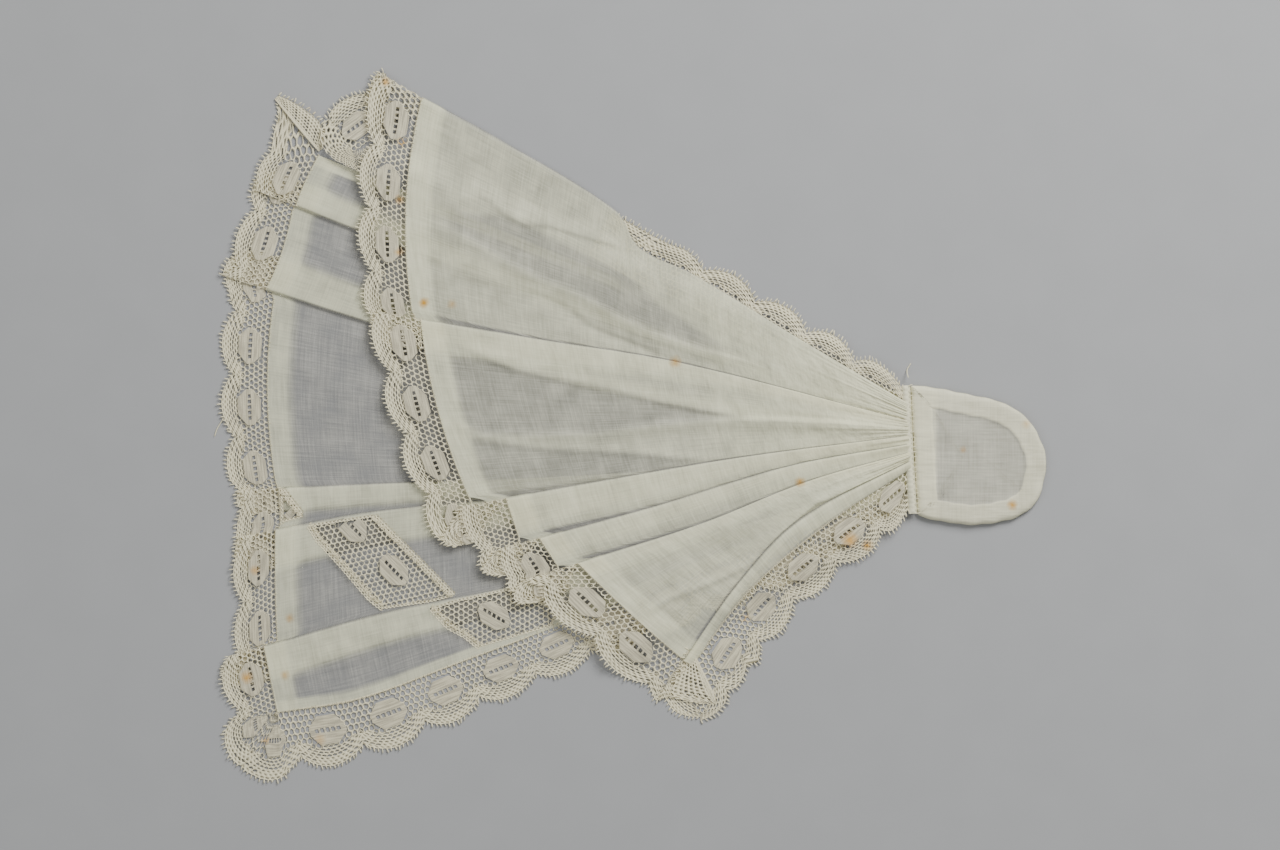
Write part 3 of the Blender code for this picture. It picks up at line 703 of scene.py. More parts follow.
# Lower edging: one length of scalloped cotton lace, whipped to the hem, gathered round the low corner
# and on up the side. A net of six-sided meshes carries a leaf with five holes in each scallop, a
# thick clothed trail follows the edge, and small loops of thread stand on it.
LACE_TIP, LACE_VALLEY = 14.4, 11.0
LEAF_MIDDLE, LEAF_LONG, LEAF_WIDE = 5.7, 5.3, 3.5
LEAF_STRAIGHT, LEAF_SLOPE = 2.6, 0.95  # its sides are straight this far, and then draw in
LEAF_HOLE = (0.52, 0.60)  # half its length and half its width
LEAF_HOLES = (-3.2, -1.6, 0.0, 1.6, 3.2)
LEAF_LINES = (-5.3, -4.9, -4.2, -2.4, -0.8, 0.8, 2.4, 4.2, 4.9, 5.3)  # cuts besides those at its holes
NET_PITCH = SCALLOP / 11
NET_FOOT, NET_ROW = 0.75, 1.4  # its first row from the lace's foot, and each next one
NET_OPEN = 0.745  # share of a mesh that is open
NET_THREAD = 0.12
NET_SHAKE, CLOTHED_SHAKE = 0.1, 0.05  # how far hand-laid threads stray
TRAIL_PITCH = SCALLOP / 12
TRAIL_EDGE, TRAIL_ROW = 0.35, 0.72  # its first row from the edge, and each next one
TRAIL_DEEP, TRAIL_THINS = 4.9, 1.2  # its depth at a tip, and how much less it is between scallops
TRAIL_LONG = 2.3  # times as long as wide are the openings in it
TRAIL_DENSE = 0.13
TRAIL_SLIT = 0.36
SLIT_ROW, SLIT_REACH = 2.5, 6.4  # slits lie further in than this row, this far beside a tip
TRAIL_THREAD = 0.07
PICOT = (1.3, 1.6, 0.42)  # how far apart the loops are, their length and width
WHIPPING = (1.3, 1.0, 0.18, 0.25)  # the same for the stitches, and how unevenly they lean
LACE_COLOUR = (0.87, 0.805, 0.55)
LACE_SHADE = (0.58, 0.53, 0.37)
# Painted shade: the leaves are coloured darker and greyer than the thread around them.
LEAF_PAINTED_SHADE_COLOUR = (0.68, 0.625, 0.44)
LEAF_PAINTED_SHADE_DARK = (0.43, 0.395, 0.285)
EASE, TAPER = 0.45, 0.25  # shares of a side in which its lace recovers from the corner, and narrows
FLAT = 2.0  # marks the faces that are shaded flat
FOOT_RIDGES = ((0, 0), (0.3, 0.05), (0.5, 0.03), (0.7, 0.05), (1, 0))
TURNED_UNDER = 7.0  # length of the upper hem's lace that is folded back at its start
LOWEST, LOOPS_REST = 0.04, 0.3  # least height over the board of lace, and of its loops
MITRE_SOFT, MITRE_DRAWN = 12.0, 0.3  # length beside a mitre that is rounded off, and to what share
TUCKED = -0.12  # how far lace dips where its foot is tucked under the cloth
CORNER_REACH = 19.0  # the least lace on either side of a mitre
FAN_LONG = 20.0  # the least lace that is gathered into a fan at a corner
FAN_GATHERS, FAN_RISE, FAN_BULGE = 9, 0.07, 0.18

Mitre = namedtuple("Mitre", "start turn end hub line hand round_from")
Side = namedtuple("Side", "round_from fanned after along seam tip")
LOWER_SIDE = Side(16.0, True, 19.0, 13.6, 5.0, 14.0)


def edging_width(p):
    """The scalloped edge: how far it is from the foot."""
    part = p / SCALLOP + 0.5
    part = part - np.floor(part)
    return LACE_VALLEY + (LACE_TIP - LACE_VALLEY) * (1 - (2 * part - 1) ** 2)


def in_scallop(p):
    """Distance along from the nearest tip."""
    return p - SCALLOP * np.round(p / SCALLOP)


def leaf_half(q):
    """Half the width of the leaf: straight sides that draw in to blunt ends."""
    return np.clip(LEAF_WIDE - LEAF_SLOPE * np.maximum(0.0, np.abs(q) - LEAF_STRAIGHT), 0.0, LEAF_WIDE)


def trail_depth(q):
    """How far in from the edge the clothed trail and its rows of slits reach."""
    return TRAIL_DEEP - TRAIL_THINS * (np.abs(q) / (SCALLOP / 2)) ** 1.5


def straight_rows(first, apart):
    """Rows of meshes that run straight along the lace, by their distance from its foot."""
    return lambda p, row: first + apart * row + 0 * p


net_row = straight_rows(NET_FOOT, NET_ROW)


def trail_row(p, row):
    """The trail's rows follow the scalloped edge."""
    return edging_width(p) - np.maximum(0.03, TRAIL_EDGE + TRAIL_ROW * row)


def in_leaf(p, w, more, plain):
    """Which places a leaf covers, with none in the plain scallops."""
    q = in_scallop(p)
    inside = (np.abs(w - LEAF_MIDDLE) < leaf_half(q) + 0.7 * more) & (np.abs(q) < LEAF_LONG + more)
    return inside & ~np.isin(np.round(p / SCALLOP), plain)


def net_opening(p, row, plain=()):
    """The net is open up to the trail, with nothing under the leaf."""
    w = net_row(p, row)
    outside = w > edging_width(p) - trail_depth(in_scallop(p)) + 0.5
    return np.where(in_leaf(p, w, 0.35, plain) | outside, 0.0, NET_OPEN)


def trail_opening(p, row, plain=()):
    """The outer rows are nearly closed, and the inner ones are slits, but closed between scallops."""
    q = in_scallop(p)
    w = trail_row(p, row)
    uneven = (0.5 + 0.5 * np.sin(12.9 * p + 7.1 * row)) ** 1.5
    closed = (row < SLIT_ROW) | (np.abs(q) > SLIT_REACH)
    size = np.where(closed, TRAIL_DENSE * (0.3 + 1.2 * uneven), TRAIL_SLIT * (0.8 + 0.4 * uneven))
    size = np.where((row == 1) & (np.abs(q) > 4.5), TRAIL_SLIT, size)
    return np.where(in_leaf(p, w, 0.0, plain) | (TRAIL_EDGE + TRAIL_ROW * row > trail_depth(q)), 0.0, size)


def ground(first, last, pitch, rows, row_place, opening, thread, long=1.0):
    """Rows of twisted thread: a ring for each mesh, merged with its neighbours."""
    column, row = np.meshgrid(np.arange(math.floor(first / pitch) - 1, math.ceil(last / pitch) + 2), rows)
    row = row.ravel().astype(float)
    column = column.ravel() + 0.5 * (row % 2)
    size = opening(column * pitch, row)
    kept = (size > 0) & (column * pitch > first) & (column * pitch < last)
    column, row, size = column[kept, None], row[kept, None], size[kept, None]
    ways = np.array(((0, -2), (1.5, -1), (1.5, 1), (0, 2), (-1.5, 1), (-1.5, -1))) / 3
    p = (column + ways[:, 0]) * pitch
    outer = np.stack([p, row_place(p, row + ways[:, 1]), 0 * p], -1)
    middle = outer.mean(axis=1, keepdims=True)
    share = np.stack([np.minimum(0.86, size * long), size, size], -1)
    rise = np.array((0.0, 0.0, thread))
    cells = np.concatenate([outer + rise, outer - rise, middle + (outer - middle) * share], axis=1)
    ring = np.arange(6)
    turn = (ring + 1) % 6
    above = np.stack([ring, turn, 12 + turn, 12 + ring], 1)
    below = np.stack([6 + ring, 6 + turn, 12 + turn, 12 + ring], 1)
    start = 18 * np.arange(len(cells))[:, None, None]
    faces = np.concatenate([(start + above).reshape(-1, 4), (start + below).reshape(-1, 4)])
    facing = np.repeat([1.0, -1.0], 6 * len(cells))
    spots, numbers = np.unique(np.round(cells.reshape(-1, 3), 3), axis=0, return_inverse=True)
    p, w, _ = spots.T.copy()
    shake = NET_SHAKE * thread / NET_THREAD if long == 1.0 else CLOTHED_SHAKE
    spots[:, 0] += shake * (np.sin(2.3 * p + 5.9 * w) + 0.6 * np.sin(7.1 * w - 4.7 * p))
    spots[:, 1] += shake * (np.sin(3.1 * p - 4.3 * w + 1.0) + 0.6 * np.sin(6.7 * p + 3.9 * w))
    return spots, numbers.ravel()[faces], facing


def band(p, low, high, profile, sink):
    """A dense clothed band between two rows, with ridges of thread along it."""
    share, height = np.array(profile).T
    inner = share[1:-1][::-1]
    share = np.concatenate([share, inner])
    height = np.concatenate([height, np.full(len(inner), -sink)])
    ends = np.minimum(1.0, np.minimum(np.arange(len(p)), np.arange(len(p))[::-1]) / 2.0)
    w = np.broadcast_to(low + (high - low) * share, (len(p), len(share)))
    spots = np.stack([np.broadcast_to(p[:, None], w.shape), w, ends[:, None] * height], -1)
    facing = np.ones((len(p) - 1, len(share)))
    facing[:, len(share) - len(inner) - 1:] = -1.0
    return spots.reshape(-1, 3), grid_faces(len(p), len(share), closed=True), facing.ravel()


def leaf(start, middle):
    """The clothed leaf with its holes, as a thin plate."""
    half_hole, high_hole = LEAF_HOLE
    lines = set(LEAF_LINES)
    for hole in LEAF_HOLES:
        lines |= {hole - half_hole, hole + half_hole}
    q = np.array(sorted(lines))
    half = leaf_half(q)
    inner = np.minimum(high_hole * (1 - 0.07 * np.abs(q)), 0.4 * half)
    edge = np.maximum(half - 0.15, (half + inner) / 2)
    across = np.stack([-half, -edge, -inner, inner, edge, half], 1)
    between = (q[:-1] + q[1:]) / 2
    open_columns = [k for k, at in enumerate(between) if min(abs(at - hole) for hole in LEAF_HOLES) < 0.1]
    rim = np.zeros(across.shape, bool)
    rim[:, (0, 5)] = rim[(0, -1), :] = True
    for k in open_columns:
        rim[k : k + 2, 2:4] = True
    slant = 0.12 * np.sign(across)
    flat = np.stack([q[:, None] + start + slant, across + middle], -1).reshape(-1, 2)
    rim = rim.ravel()
    above = np.column_stack([flat, np.where(rim, 0.03, 0.06)])
    below = np.column_stack([flat, np.where(rim, 0.03, -0.04)])
    number = np.arange(len(flat)).reshape(across.shape)
    under = np.where(rim, np.arange(len(flat)), np.arange(len(flat)) + len(flat)).reshape(across.shape)
    keep = np.ones((len(q) - 1, 5), bool)
    keep[open_columns, 2] = False
    faces = []
    for table in (number, under):
        quads = np.stack([table[:-1, :-1], table[1:, :-1], table[1:, 1:], table[:-1, 1:]], -1)
        faces.append(quads[keep])
    facing = np.repeat([FLAT, -FLAT], len(faces[0]))
    return np.concatenate([above, below]), np.concatenate(faces), facing


def together(parts):
    """Several bits of a mesh as one."""
    start = 0
    spots, faces, facing = [], [], []
    for part_spots, part_faces, part_facing in parts:
        spots.append(part_spots)
        faces.append(part_faces + start)
        facing.append(part_facing)
        start += len(part_spots)
    return np.concatenate(spots), np.concatenate(faces), np.concatenate(facing)


def edging(first, last, plain=(), footed=True):
    """The flat pattern of the edging between two places along it."""
    p = np.linspace(first, last, max(4, round((last - first) / 0.7)))
    net = lambda p, row: net_opening(p, row, plain)
    trail = lambda p, row: trail_opening(p, row, plain)
    parts = [
        ground(first, last, NET_PITCH, range(7), net_row, net, NET_THREAD),
        ground(first, last, TRAIL_PITCH, range(7), trail_row, trail, TRAIL_THREAD, TRAIL_LONG),
    ]
    if footed:
        parts.append(band(p, -0.35, 0.1, FOOT_RIDGES, 0.05))
    for number in range(math.ceil((first + 1) / SCALLOP), math.floor((last - 1) / SCALLOP) + 1):
        if number not in plain:
            parts.append(leaf(number * SCALLOP, LEAF_MIDDLE))
    return together(parts)


class Way:
    """Where a length of lace lies: its foot, how it runs out, and its height, by the pattern."""

    def __init__(self, pattern, feet, outs, heights, rise, mitre=None, plain=()):
        self.plain = list(plain)
        self.pattern = np.array(pattern)
        self.feet, self.outs, self.heights = np.array(feet), np.array(outs), np.array(heights)
        self.rise = rise
        self.mitre = mitre

    def plan(self, p, w):
        """Places from above, and which of them lie past the corner's mitre, where they are tucked in."""
        place = traced(p, self.pattern, self.feet) + traced(p, self.pattern, self.outs) * w[:, None]
        past = np.zeros(len(p), bool)
        if self.mitre:
            mitre = self.mitre
            from_hub = place - mitre.hub
            along = from_hub @ mitre.line
            beyond = swing(mitre.line, from_hub) * mitre.hand
            beyond = np.where(p > mitre.turn, -beyond, beyond)
            past = (p > mitre.start) & (p < mitre.end) & (beyond > 0)
            place[past] = mitre.hub + mitre.line * np.maximum(0.0, along[past])[:, None]
            from_hub = place - mitre.hub
            away = np.linalg.norm(from_hub, axis=1)
            near = (p > mitre.start - MITRE_SOFT) & (p < mitre.end + MITRE_SOFT) & (away > mitre.round_from)
            drawn_in = mitre.round_from + MITRE_DRAWN * (away[near] - mitre.round_from)
            place[near] = mitre.hub + from_hub[near] * (drawn_in / away[near])[:, None]
        return place, past

    def put(self, spots):
        """Places in space for points of the flat pattern."""
        p, w, z = spots.T
        place, _ = self.plan(p, w)
        x, y = place.T
        height = np.interp(p, self.pattern, self.heights) * (1 - 0.2 * np.clip(w / 14, 0, 1))
        height = RESTS + self.rise(x, y) + height + rumple(x, y) + z
        return np.stack([x, y, np.maximum(LOWEST, height)], 1)


def hem_way(tier, turned_under=False, crushed=()):
    """The way that a hem's lace follows through all the pleats, falling further out inside them."""
    runs, pattern = tier.pattern_runs()
    run = np.arange(runs[0], runs[-1], 0.4)
    run = np.append(run, runs[-1])
    place, height, _ = tier.lay(run, np.ones(run.shape))
    at = np.interp(run, runs, pattern)
    outs = tier.lace_out(run)
    plain = []
    for ply in tier.plies:
        here = (run > ply.start) & (run < ply.end)
        if ply.layer in ("middle", "low"):
            pleat = next(p for p in tier.pleats if (p.over, p.edge) == (ply.gore, ply.edge))
            _, deep = tier.across(ply, run[here], np.ones(here.sum()))
            under = ply.gore - 1 if ply.edge == "a" else ply.gore + 1
            place[here] += tier.hem_out(under) * (pleat.fall * (1 - (1 - deep) ** 2))[:, None]
            outs[here] *= 1 - 0.45 * deep[:, None] ** 4
        elif ply.gore in crushed:
            plain.append(round((np.interp(ply.start, runs, pattern) + tier.gores[ply.gore].tip) / SCALLOP))
    if turned_under:
        under = (run - run[0] < TURNED_UNDER) & (run > run[0])
        at = np.concatenate([(2 * at[0] - at[under])[::-1], at])
        place = np.concatenate([place[under][::-1], place])
        outs = np.concatenate([outs[under][::-1], outs])
        height = np.concatenate([0 * height[under], height])
    return Way(at, place, outs, height, tier.rise, plain=plain)


def side_edge(tier, index, across, side):
    """A side of a frill from the hem to the seam: distances, places and ways outwards."""
    downs = np.linspace(1.0, 0.0, 200)
    edge = tier.spot(index, np.full(downs.shape, across), downs)
    distance = run_along(edge)
    square = left_of(unit(np.gradient(edge, axis=0))) * side
    square = np.stack([np.convolve(np.pad(c, 12, "edge"), np.ones(25) / 25, "valid") for c in square.T], 1)
    share = eased((distance / distance[-1] - 1 + TAPER) / TAPER)[:, None]
    return distance, edge, unit(square + (np.array((-NECK_SLANT, 1.0)) * side - square) * share)


def side_way(tier, hem, side):
    """The way on from the hem's end and up the side, with a fan or a mitre at the corner."""
    last = len(tier.gores) - 1
    distance, edge, outs = side_edge(tier, last, 1.0, -1.0)
    share = distance / distance[-1]
    width = side.after + (side.along - side.after) * np.minimum(1.0, share / EASE)
    width += (side.seam - side.along) * eased((share - 1 + TAPER) / TAPER)
    tuck = np.maximum(0.0, LACE_TIP - width)
    feet = edge - outs * tuck[:, None]
    first, final = hem.outs[-1], outs[0] * max(1.0, width[0] / LACE_TIP)
    length = (-side.tip - hem.pattern[-1]) % SCALLOP
    while length < (FAN_LONG if side.fanned else 2 * CORNER_REACH):
        length += SCALLOP
    start, turn = hem.pattern[-1], hem.pattern[-1] + length / 2
    widths = np.maximum(1.0, width / LACE_TIP)[:, None]
    if side.fanned:
        fan = np.linspace(0.0, 1.0, 8 * FAN_GATHERS)[1:-1]
        angle = fan * math.atan2(swing(first, final), first @ final)
        angle += math.atan2(first[1], first[0])
        spread = np.stack([np.cos(angle), np.sin(angle)], 1)
        long = np.linalg.norm(first) * (1 - fan) + np.linalg.norm(final) * fan
        round_edge = (LACE_TIP / edging_width(start + length * fan)) ** (0.8 * np.sin(math.pi * fan))
        long *= (1 + FAN_BULGE * np.sin(math.pi * fan)) * round_edge
        rises = FAN_RISE * (1 - np.cos(2 * math.pi * FAN_GATHERS * fan))
        return Way(
            np.concatenate([hem.pattern, start + length * fan, start + length + distance]),
            np.concatenate([hem.feet, edge[0] + 0.7 * spread, feet]),
            np.concatenate([hem.outs, spread * long[:, None], outs * widths]),
            np.concatenate([hem.heights, rises, TUCKED * np.minimum(1.0, tuck)]),
            tier.rise, plain=hem.plain,
        )
    line = unit(unit(first) + unit(final))
    hand = np.sign(swing(first, final))
    past_hem = left_of(first) * hand / np.linalg.norm(first)
    before_side = -left_of(final) * hand / np.linalg.norm(final)
    mitre = Mitre(start, turn, start + length, edge[0], line, hand, side.round_from)
    half = length / 2
    pattern = np.concatenate([hem.pattern, (turn - 0.01, turn + 0.01), start + length + distance])
    feet = np.concatenate([hem.feet, (edge[0] + past_hem * half, edge[0] + before_side * half), feet])
    outs = np.concatenate([hem.outs, (first, final), outs * widths])
    heights = np.concatenate([hem.heights, (0.3 * hem.heights[-1], 0.0), TUCKED * np.minimum(1.0, tuck)])
    reach = LEAF_MIDDLE * math.tan(math.acos(np.clip(unit(first) @ unit(final), -1, 1)) / 2)
    tips = SCALLOP * np.arange(math.ceil(start / SCALLOP), math.floor((start + length) / SCALLOP) + 1)
    lost = np.where(tips < turn, tips - start > reach - 3.0, start + length - tips > reach + 1.5)
    plain = hem.plain + list(np.round(tips[lost] / SCALLOP))
    return Way(pattern, feet, outs, heights, tier.rise, mitre, plain)


def cotton_lace(name, colour, shade):
    """Cream cotton thread, laid side by side in the leaves, where `layers` is 1; the leaves get a painted
    shade, darker and greyer.
    """
    made, tree, shader = matt(name, 0.82, 0.3, 0.15)
    flat, place, clothed = sheet_sockets(tree)
    threads = cloudy(tree, flat, 1.0, 2.0, (0.35, 3.2, 1.0), 0.55)
    twist = cloudy(tree, place, 2600.0, 2.0)
    age = cloudy(tree, place, 70.0, 3.0)
    mixed = weighed(tree, (threads, 0.5), (twist, 0.3))
    tone = ranged(tree, weighed(tree, (mixed, 1.0), (age, 0.4)), 0.4, 0.8, 0.0, 1.0)
    worn = ranged(tree, tone, -0.6, 1.0, 0.0, 1.0)
    lines = ranged(tree, cloudy(tree, flat, 1.0, 2.0, (0.15, 2.2, 1.0), 0.5), 0.4, 0.6, 0.0, 1.0)
    # Painted shade: the leaves take darker, greyer colours than the thread.
    leaves = blended(tree, lines, LEAF_PAINTED_SHADE_DARK, LEAF_PAINTED_SHADE_COLOUR)
    woven = blended(tree, clothed, blended(tree, worn, shade, colour), leaves)
    tree.links.new(stained(tree, woven, place), shader.inputs["Base Color"])
    raised(tree, shader, mixed, 0.00025)
    return made


def turned_up(points, faces, facing):
    """The same faces, each turned to face the way that it should."""
    one = points[faces[:, 2]] - points[faces[:, 0]]
    other = points[faces[:, 3]] - points[faces[:, 1]]
    wrong = swing(one, other) * facing < 0
    faces = faces.copy()
    faces[wrong] = faces[wrong][:, ::-1]
    return faces


def thread_rows():
    """Geometry Nodes that set a small thread at each step of a path, along the path's `out`."""
    tree = bpy.data.node_groups.new("row of threads", "GeometryNodeTree")
    sizes = ("Spacing", "Length", "Width", "Lean")
    kinds = {"Geometry": "Geometry", **dict.fromkeys(sizes, "Float"), "Material": "Material"}
    for name, kind in kinds.items():
        tree.interface.new_socket(name, in_out="INPUT", socket_type="NodeSocket" + kind)
    tree.interface.new_socket("Geometry", in_out="OUTPUT", socket_type="NodeSocketGeometry")
    given = node(tree, "NodeGroupInput").outputs

    def made(kind, inputs, output=0, **settings):
        """The outcome of a new node."""
        return node(tree, kind, inputs, **settings).outputs[output]

    def chance(low, high, seed):
        """A random vector for each thread."""
        inputs = {"Min": low, "Max": high, "Seed": seed}
        return made("FunctionNodeRandomValue", inputs, "Value", data_type="FLOAT_VECTOR")

    curve = made("GeometryNodeMeshToCurve", {0: given["Geometry"]})
    steps = made("GeometryNodeResampleCurve", {"Curve": curve, "Length": given["Spacing"]}, mode="LENGTH")
    out = made("GeometryNodeInputNamedAttribute", {"Name": "out"}, "Attribute", data_type="FLOAT_VECTOR")
    lean = chance((-1.0, -1.0, -0.1), (1.0, 1.0, 0.6), 4)
    leaning = made("ShaderNodeVectorMath", {0: lean, "Scale": given["Lean"]}, operation="SCALE")
    way = made("ShaderNodeVectorMath", {0: out, 1: leaning}, operation="ADD")
    turned = made("FunctionNodeAlignRotationToVector", {"Vector": way}, axis="Y", pivot_axis="AUTO")
    bead = made("GeometryNodeMeshUVSphere", {"Segments": 6, "Rings": 4, "Radius": 0.5}, "Mesh")
    size = made("ShaderNodeCombineXYZ", {"X": given["Width"], "Y": given["Length"], "Z": given["Width"]})
    shift = made("ShaderNodeCombineXYZ", {"Y": maths(tree, "MULTIPLY", given["Length"], 0.4)})
    formed = made("GeometryNodeTransform", {"Geometry": bead, "Scale": size, "Translation": shift})
    uneven = chance((0.75, 0.7, 0.8), (1.3, 1.25, 1.2), 9)
    placing = {"Points": steps, "Instance": formed, "Rotation": turned, "Scale": uneven}
    real = made("GeometryNodeRealizeInstances", {0: made("GeometryNodeInstanceOnPoints", placing)})
    smooth = made("GeometryNodeSetShadeSmooth", {0: real})
    finish = made("GeometryNodeSetMaterial", {"Geometry": smooth, "Material": given["Material"]})
    node(tree, "NodeGroupOutput", {0: finish})
    return tree


row_of_threads = thread_rows()


def threads_along(name, chains, spacing, length, width, lean):
    """Small cotton threads at even steps of some chains of (places, ways), as one mesh object."""
    places = np.concatenate([(points - MIDDLE) * MM for points, _ in chains])
    outs = np.concatenate([ways for _, ways in chains])
    edges = []
    start = 0
    for points, _ in chains:
        edges += [(start + k, start + k + 1) for k in range(len(points) - 1)]
        start += len(points)
    mesh = bpy.data.meshes.new(name + " path")
    mesh.from_pydata(places.tolist(), edges, [])
    ways = mesh.attributes.new("out", "FLOAT_VECTOR", "POINT")
    ways.data.foreach_set("vector", outs.astype(np.float32).ravel())
    path = placed(name + " path", mesh)
    modifier = path.modifiers.new("threads", "NODES")
    modifier.node_group = row_of_threads
    given = {"Spacing": spacing * MM, "Length": length * MM, "Width": width * MM, "Lean": lean}
    given["Material"] = lace
    for item in row_of_threads.interface.items_tree:
        if item.in_out == "INPUT" and item.name in given:
            modifier[item.identifier] = given[item.name]
    made = bpy.data.meshes.new_from_object(path.evaluated_get(bpy.context.evaluated_depsgraph_get()))
    made.name = name
    bpy.data.objects.remove(path)
    piece = placed(name, made)
    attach(piece, "root")
    return piece


def lace_shape(name, points, faces, facing, flat):
    """Lace as a mesh object, its leaves marked as clothed for their painted shade, and shaded flat."""
    clothed = np.zeros(len(points))
    clothed[faces[np.abs(facing) >= FLAT]] = 1.0
    piece = shape(name, points, turned_up(points, faces, facing), lace, flat[:, :2], clothed)
    piece.data.polygons.foreach_set("use_smooth", np.abs(facing) < FLAT)
    return piece


def lace_piece(name, flat, way):
    """A length of lace, laid along its way."""
    spots, faces, facing = flat
    _, past = way.plan(*spots.T[:2])
    kept = ~past[faces].all(axis=1)
    return lace_shape(name, way.put(spots), faces[kept], facing[kept], spots)


def loops_and_stitches(name, way, first, last, stitches):
    """The picots along the scalloped edge, and the whipping over the foot."""
    p = np.arange(first, last, 0.5)
    made = []
    rows = [("_picots", edging_width(p) - 0.15, 0.02, 1.0, (*PICOT, 0.35))]
    if stitches:
        rows.append(("_whipping", np.full(len(p), 0.3), 0.1, -1.0, WHIPPING))
    for part, w, z, way_out, sizes in rows:
        _, past = way.plan(p, w)
        points = way.put(np.stack([p, w, np.full(len(p), z)], 1))
        points[:, 2] = np.maximum(LOOPS_REST, points[:, 2])
        outs = np.column_stack([way_out * unit(traced(p, way.pattern, way.outs)), np.zeros(len(p))])
        chains = []
        for chain in np.split(np.arange(len(p)), np.nonzero(np.diff(past))[0] + 1):
            if not past[chain[0]] and len(chain) > 2:
                chains.append((points[chain], outs[chain]))
        made.append(threads_along(name + part, chains, *sizes))
    return made


def sewn_edging(name, way, nodes, flat=None, loops_from=None, stitches=True):
    """A length of edging with its loops and stitches."""
    first, last = way.pattern[0], way.pattern[-1]
    piece = lace_piece(name, flat or edging(first, last, way.plain), way)
    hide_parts(*nodes)
    trim = loops_and_stitches(name, way, first if loops_from is None else loops_from, last, stitches)


lace = cotton_lace("lace", LACE_COLOUR, LACE_SHADE)
lower_way = side_way(lower, hem_way(lower), LOWER_SIDE)
sewn_edging("lower_lace", lower_way, ("lower_hem_lace", "lower_side_lace"))

# Turned corner: the end of the lower edging, doubled back on itself so that a leaf of lace leans on
# the hem's lace, with its loops along the upper edge.
Doubled = namedtuple("Doubled", "start end out long lift shares widths")
CORNER = Doubled(
    (-107.3, 98.0), (-94.0, 82.2), (0.77, 0.64), 20.6, 0.75,
    (0, 0.15, 0.3, 0.5, 0.65, 0.8, 0.92, 1), (1.6, 3.3, 4.5, 5.7, 6.2, 5.4, 3.4, 0.9),
)
CORNER_MESH = 1.2
DOUBLED_DEEP = 7.0  # depth of the pattern that is spread over each width


def doubled_opening(p, row):
    """Two layers of net over each other leave small uneven openings."""
    return np.where(row > 4.5, 0.14, 0.34) * (1 + 0.5 * np.sin(9.1 * p + 5.3 * row))


def doubled_lace(name, fold, rise):
    """Lace folded back on itself beside a crease, with its loops."""
    share = np.linspace(0.0, 1.0, 40)
    crease = np.array(fold.start) + (np.array(fold.end) - fold.start) * share[:, None]
    width = np.interp(share, fold.shares, fold.widths)[:, None]
    lift = fold.lift * (0.35 + 0.65 * np.sin(math.pi * share))
    way = Way(fold.long * (share - 0.5), crease, np.array(fold.out) * width / DOUBLED_DEEP, lift, rise)
    half = fold.long / 2
    rows = straight_rows(0.35, 0.95)
    flat = together([
        ground(-half, half, CORNER_MESH, range(7), rows, doubled_opening, TRAIL_THREAD, 1.5),
        band(np.linspace(-half, half, 30), -0.5, 0.7, FOOT_RIDGES, 0.12),
    ])
    piece = lace_piece(name, flat, way)
    edge = np.linspace(-half, half, 60)
    loops = way.put(np.stack([edge, np.full(60, 6.8), np.zeros(60)], 1))
    loops[:, 2] = np.maximum(LOOPS_REST, loops[:, 2])
    ways = np.tile((*fold.out, 0.0), (60, 1))
    picots = threads_along(name + "_picots", [(loops, ways)], *PICOT, 0.5)
    return piece


corner_lace = doubled_lace("lower_corner", CORNER, on_board)
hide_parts("lower_corner_lace")

# Insertion: straight two-edged lace let into the lower frill on a slant, whipped to the cloth along
# both sides. The cloth is cut away behind it, and the pleats hide the rest of its length.
Stretch = namedtuple("Stretch", "node heart along")
STRETCHES = (
    Stretch("insertion_centre", (-102.5, -24.0), (0.69, -0.72)),
    Stretch("insertion_middle", (-84.0, -30.4), (0.69, -0.72)),
    Stretch("insertion_low", (-41.5, -57.0), (0.86, -0.51)),
)
INSERTION_BORDER = 0.72  # height of a row of the looped border
BORDER_MESH, BORDER_THREAD, BORDER_LONG = 1.15, 0.1, 1.4  # pitch, thickness, length over width
BORDER_STITCH = (0.62, 1.9, 0.3, 0.8)
INSERTION_TURNED = 1.35  # of the lace that lies under the cloth's edge all round
INSERTION_SPARE = 1.05  # times what is needed
CROSSING = 0.5  # how far the outline turns from the lace's length where a pleat crosses it


def insertion_opening(p, row):
    """The net is open, with nothing under the leaves."""
    q = in_scallop(p)
    leaf_here = (np.abs(NET_ROW * row) < leaf_half(q) + 0.2) & (np.abs(q) < LEAF_LONG + 0.4)
    return np.where(leaf_here, 0.0, NET_OPEN)


def over_cloth(x, y, rest=0.0):
    """Height of the lower frill's cloth at each place, before the insertion was cut out."""
    heights = np.full(len(x), rest)
    for number, (px, py) in enumerate(zip(x, y)):
        hit = lower_tree.ray_cast(Vector((px, py, 30.0)), Vector((0, 0, -1)))[0]
        if hit:
            heights[number] = hit.z
    return heights


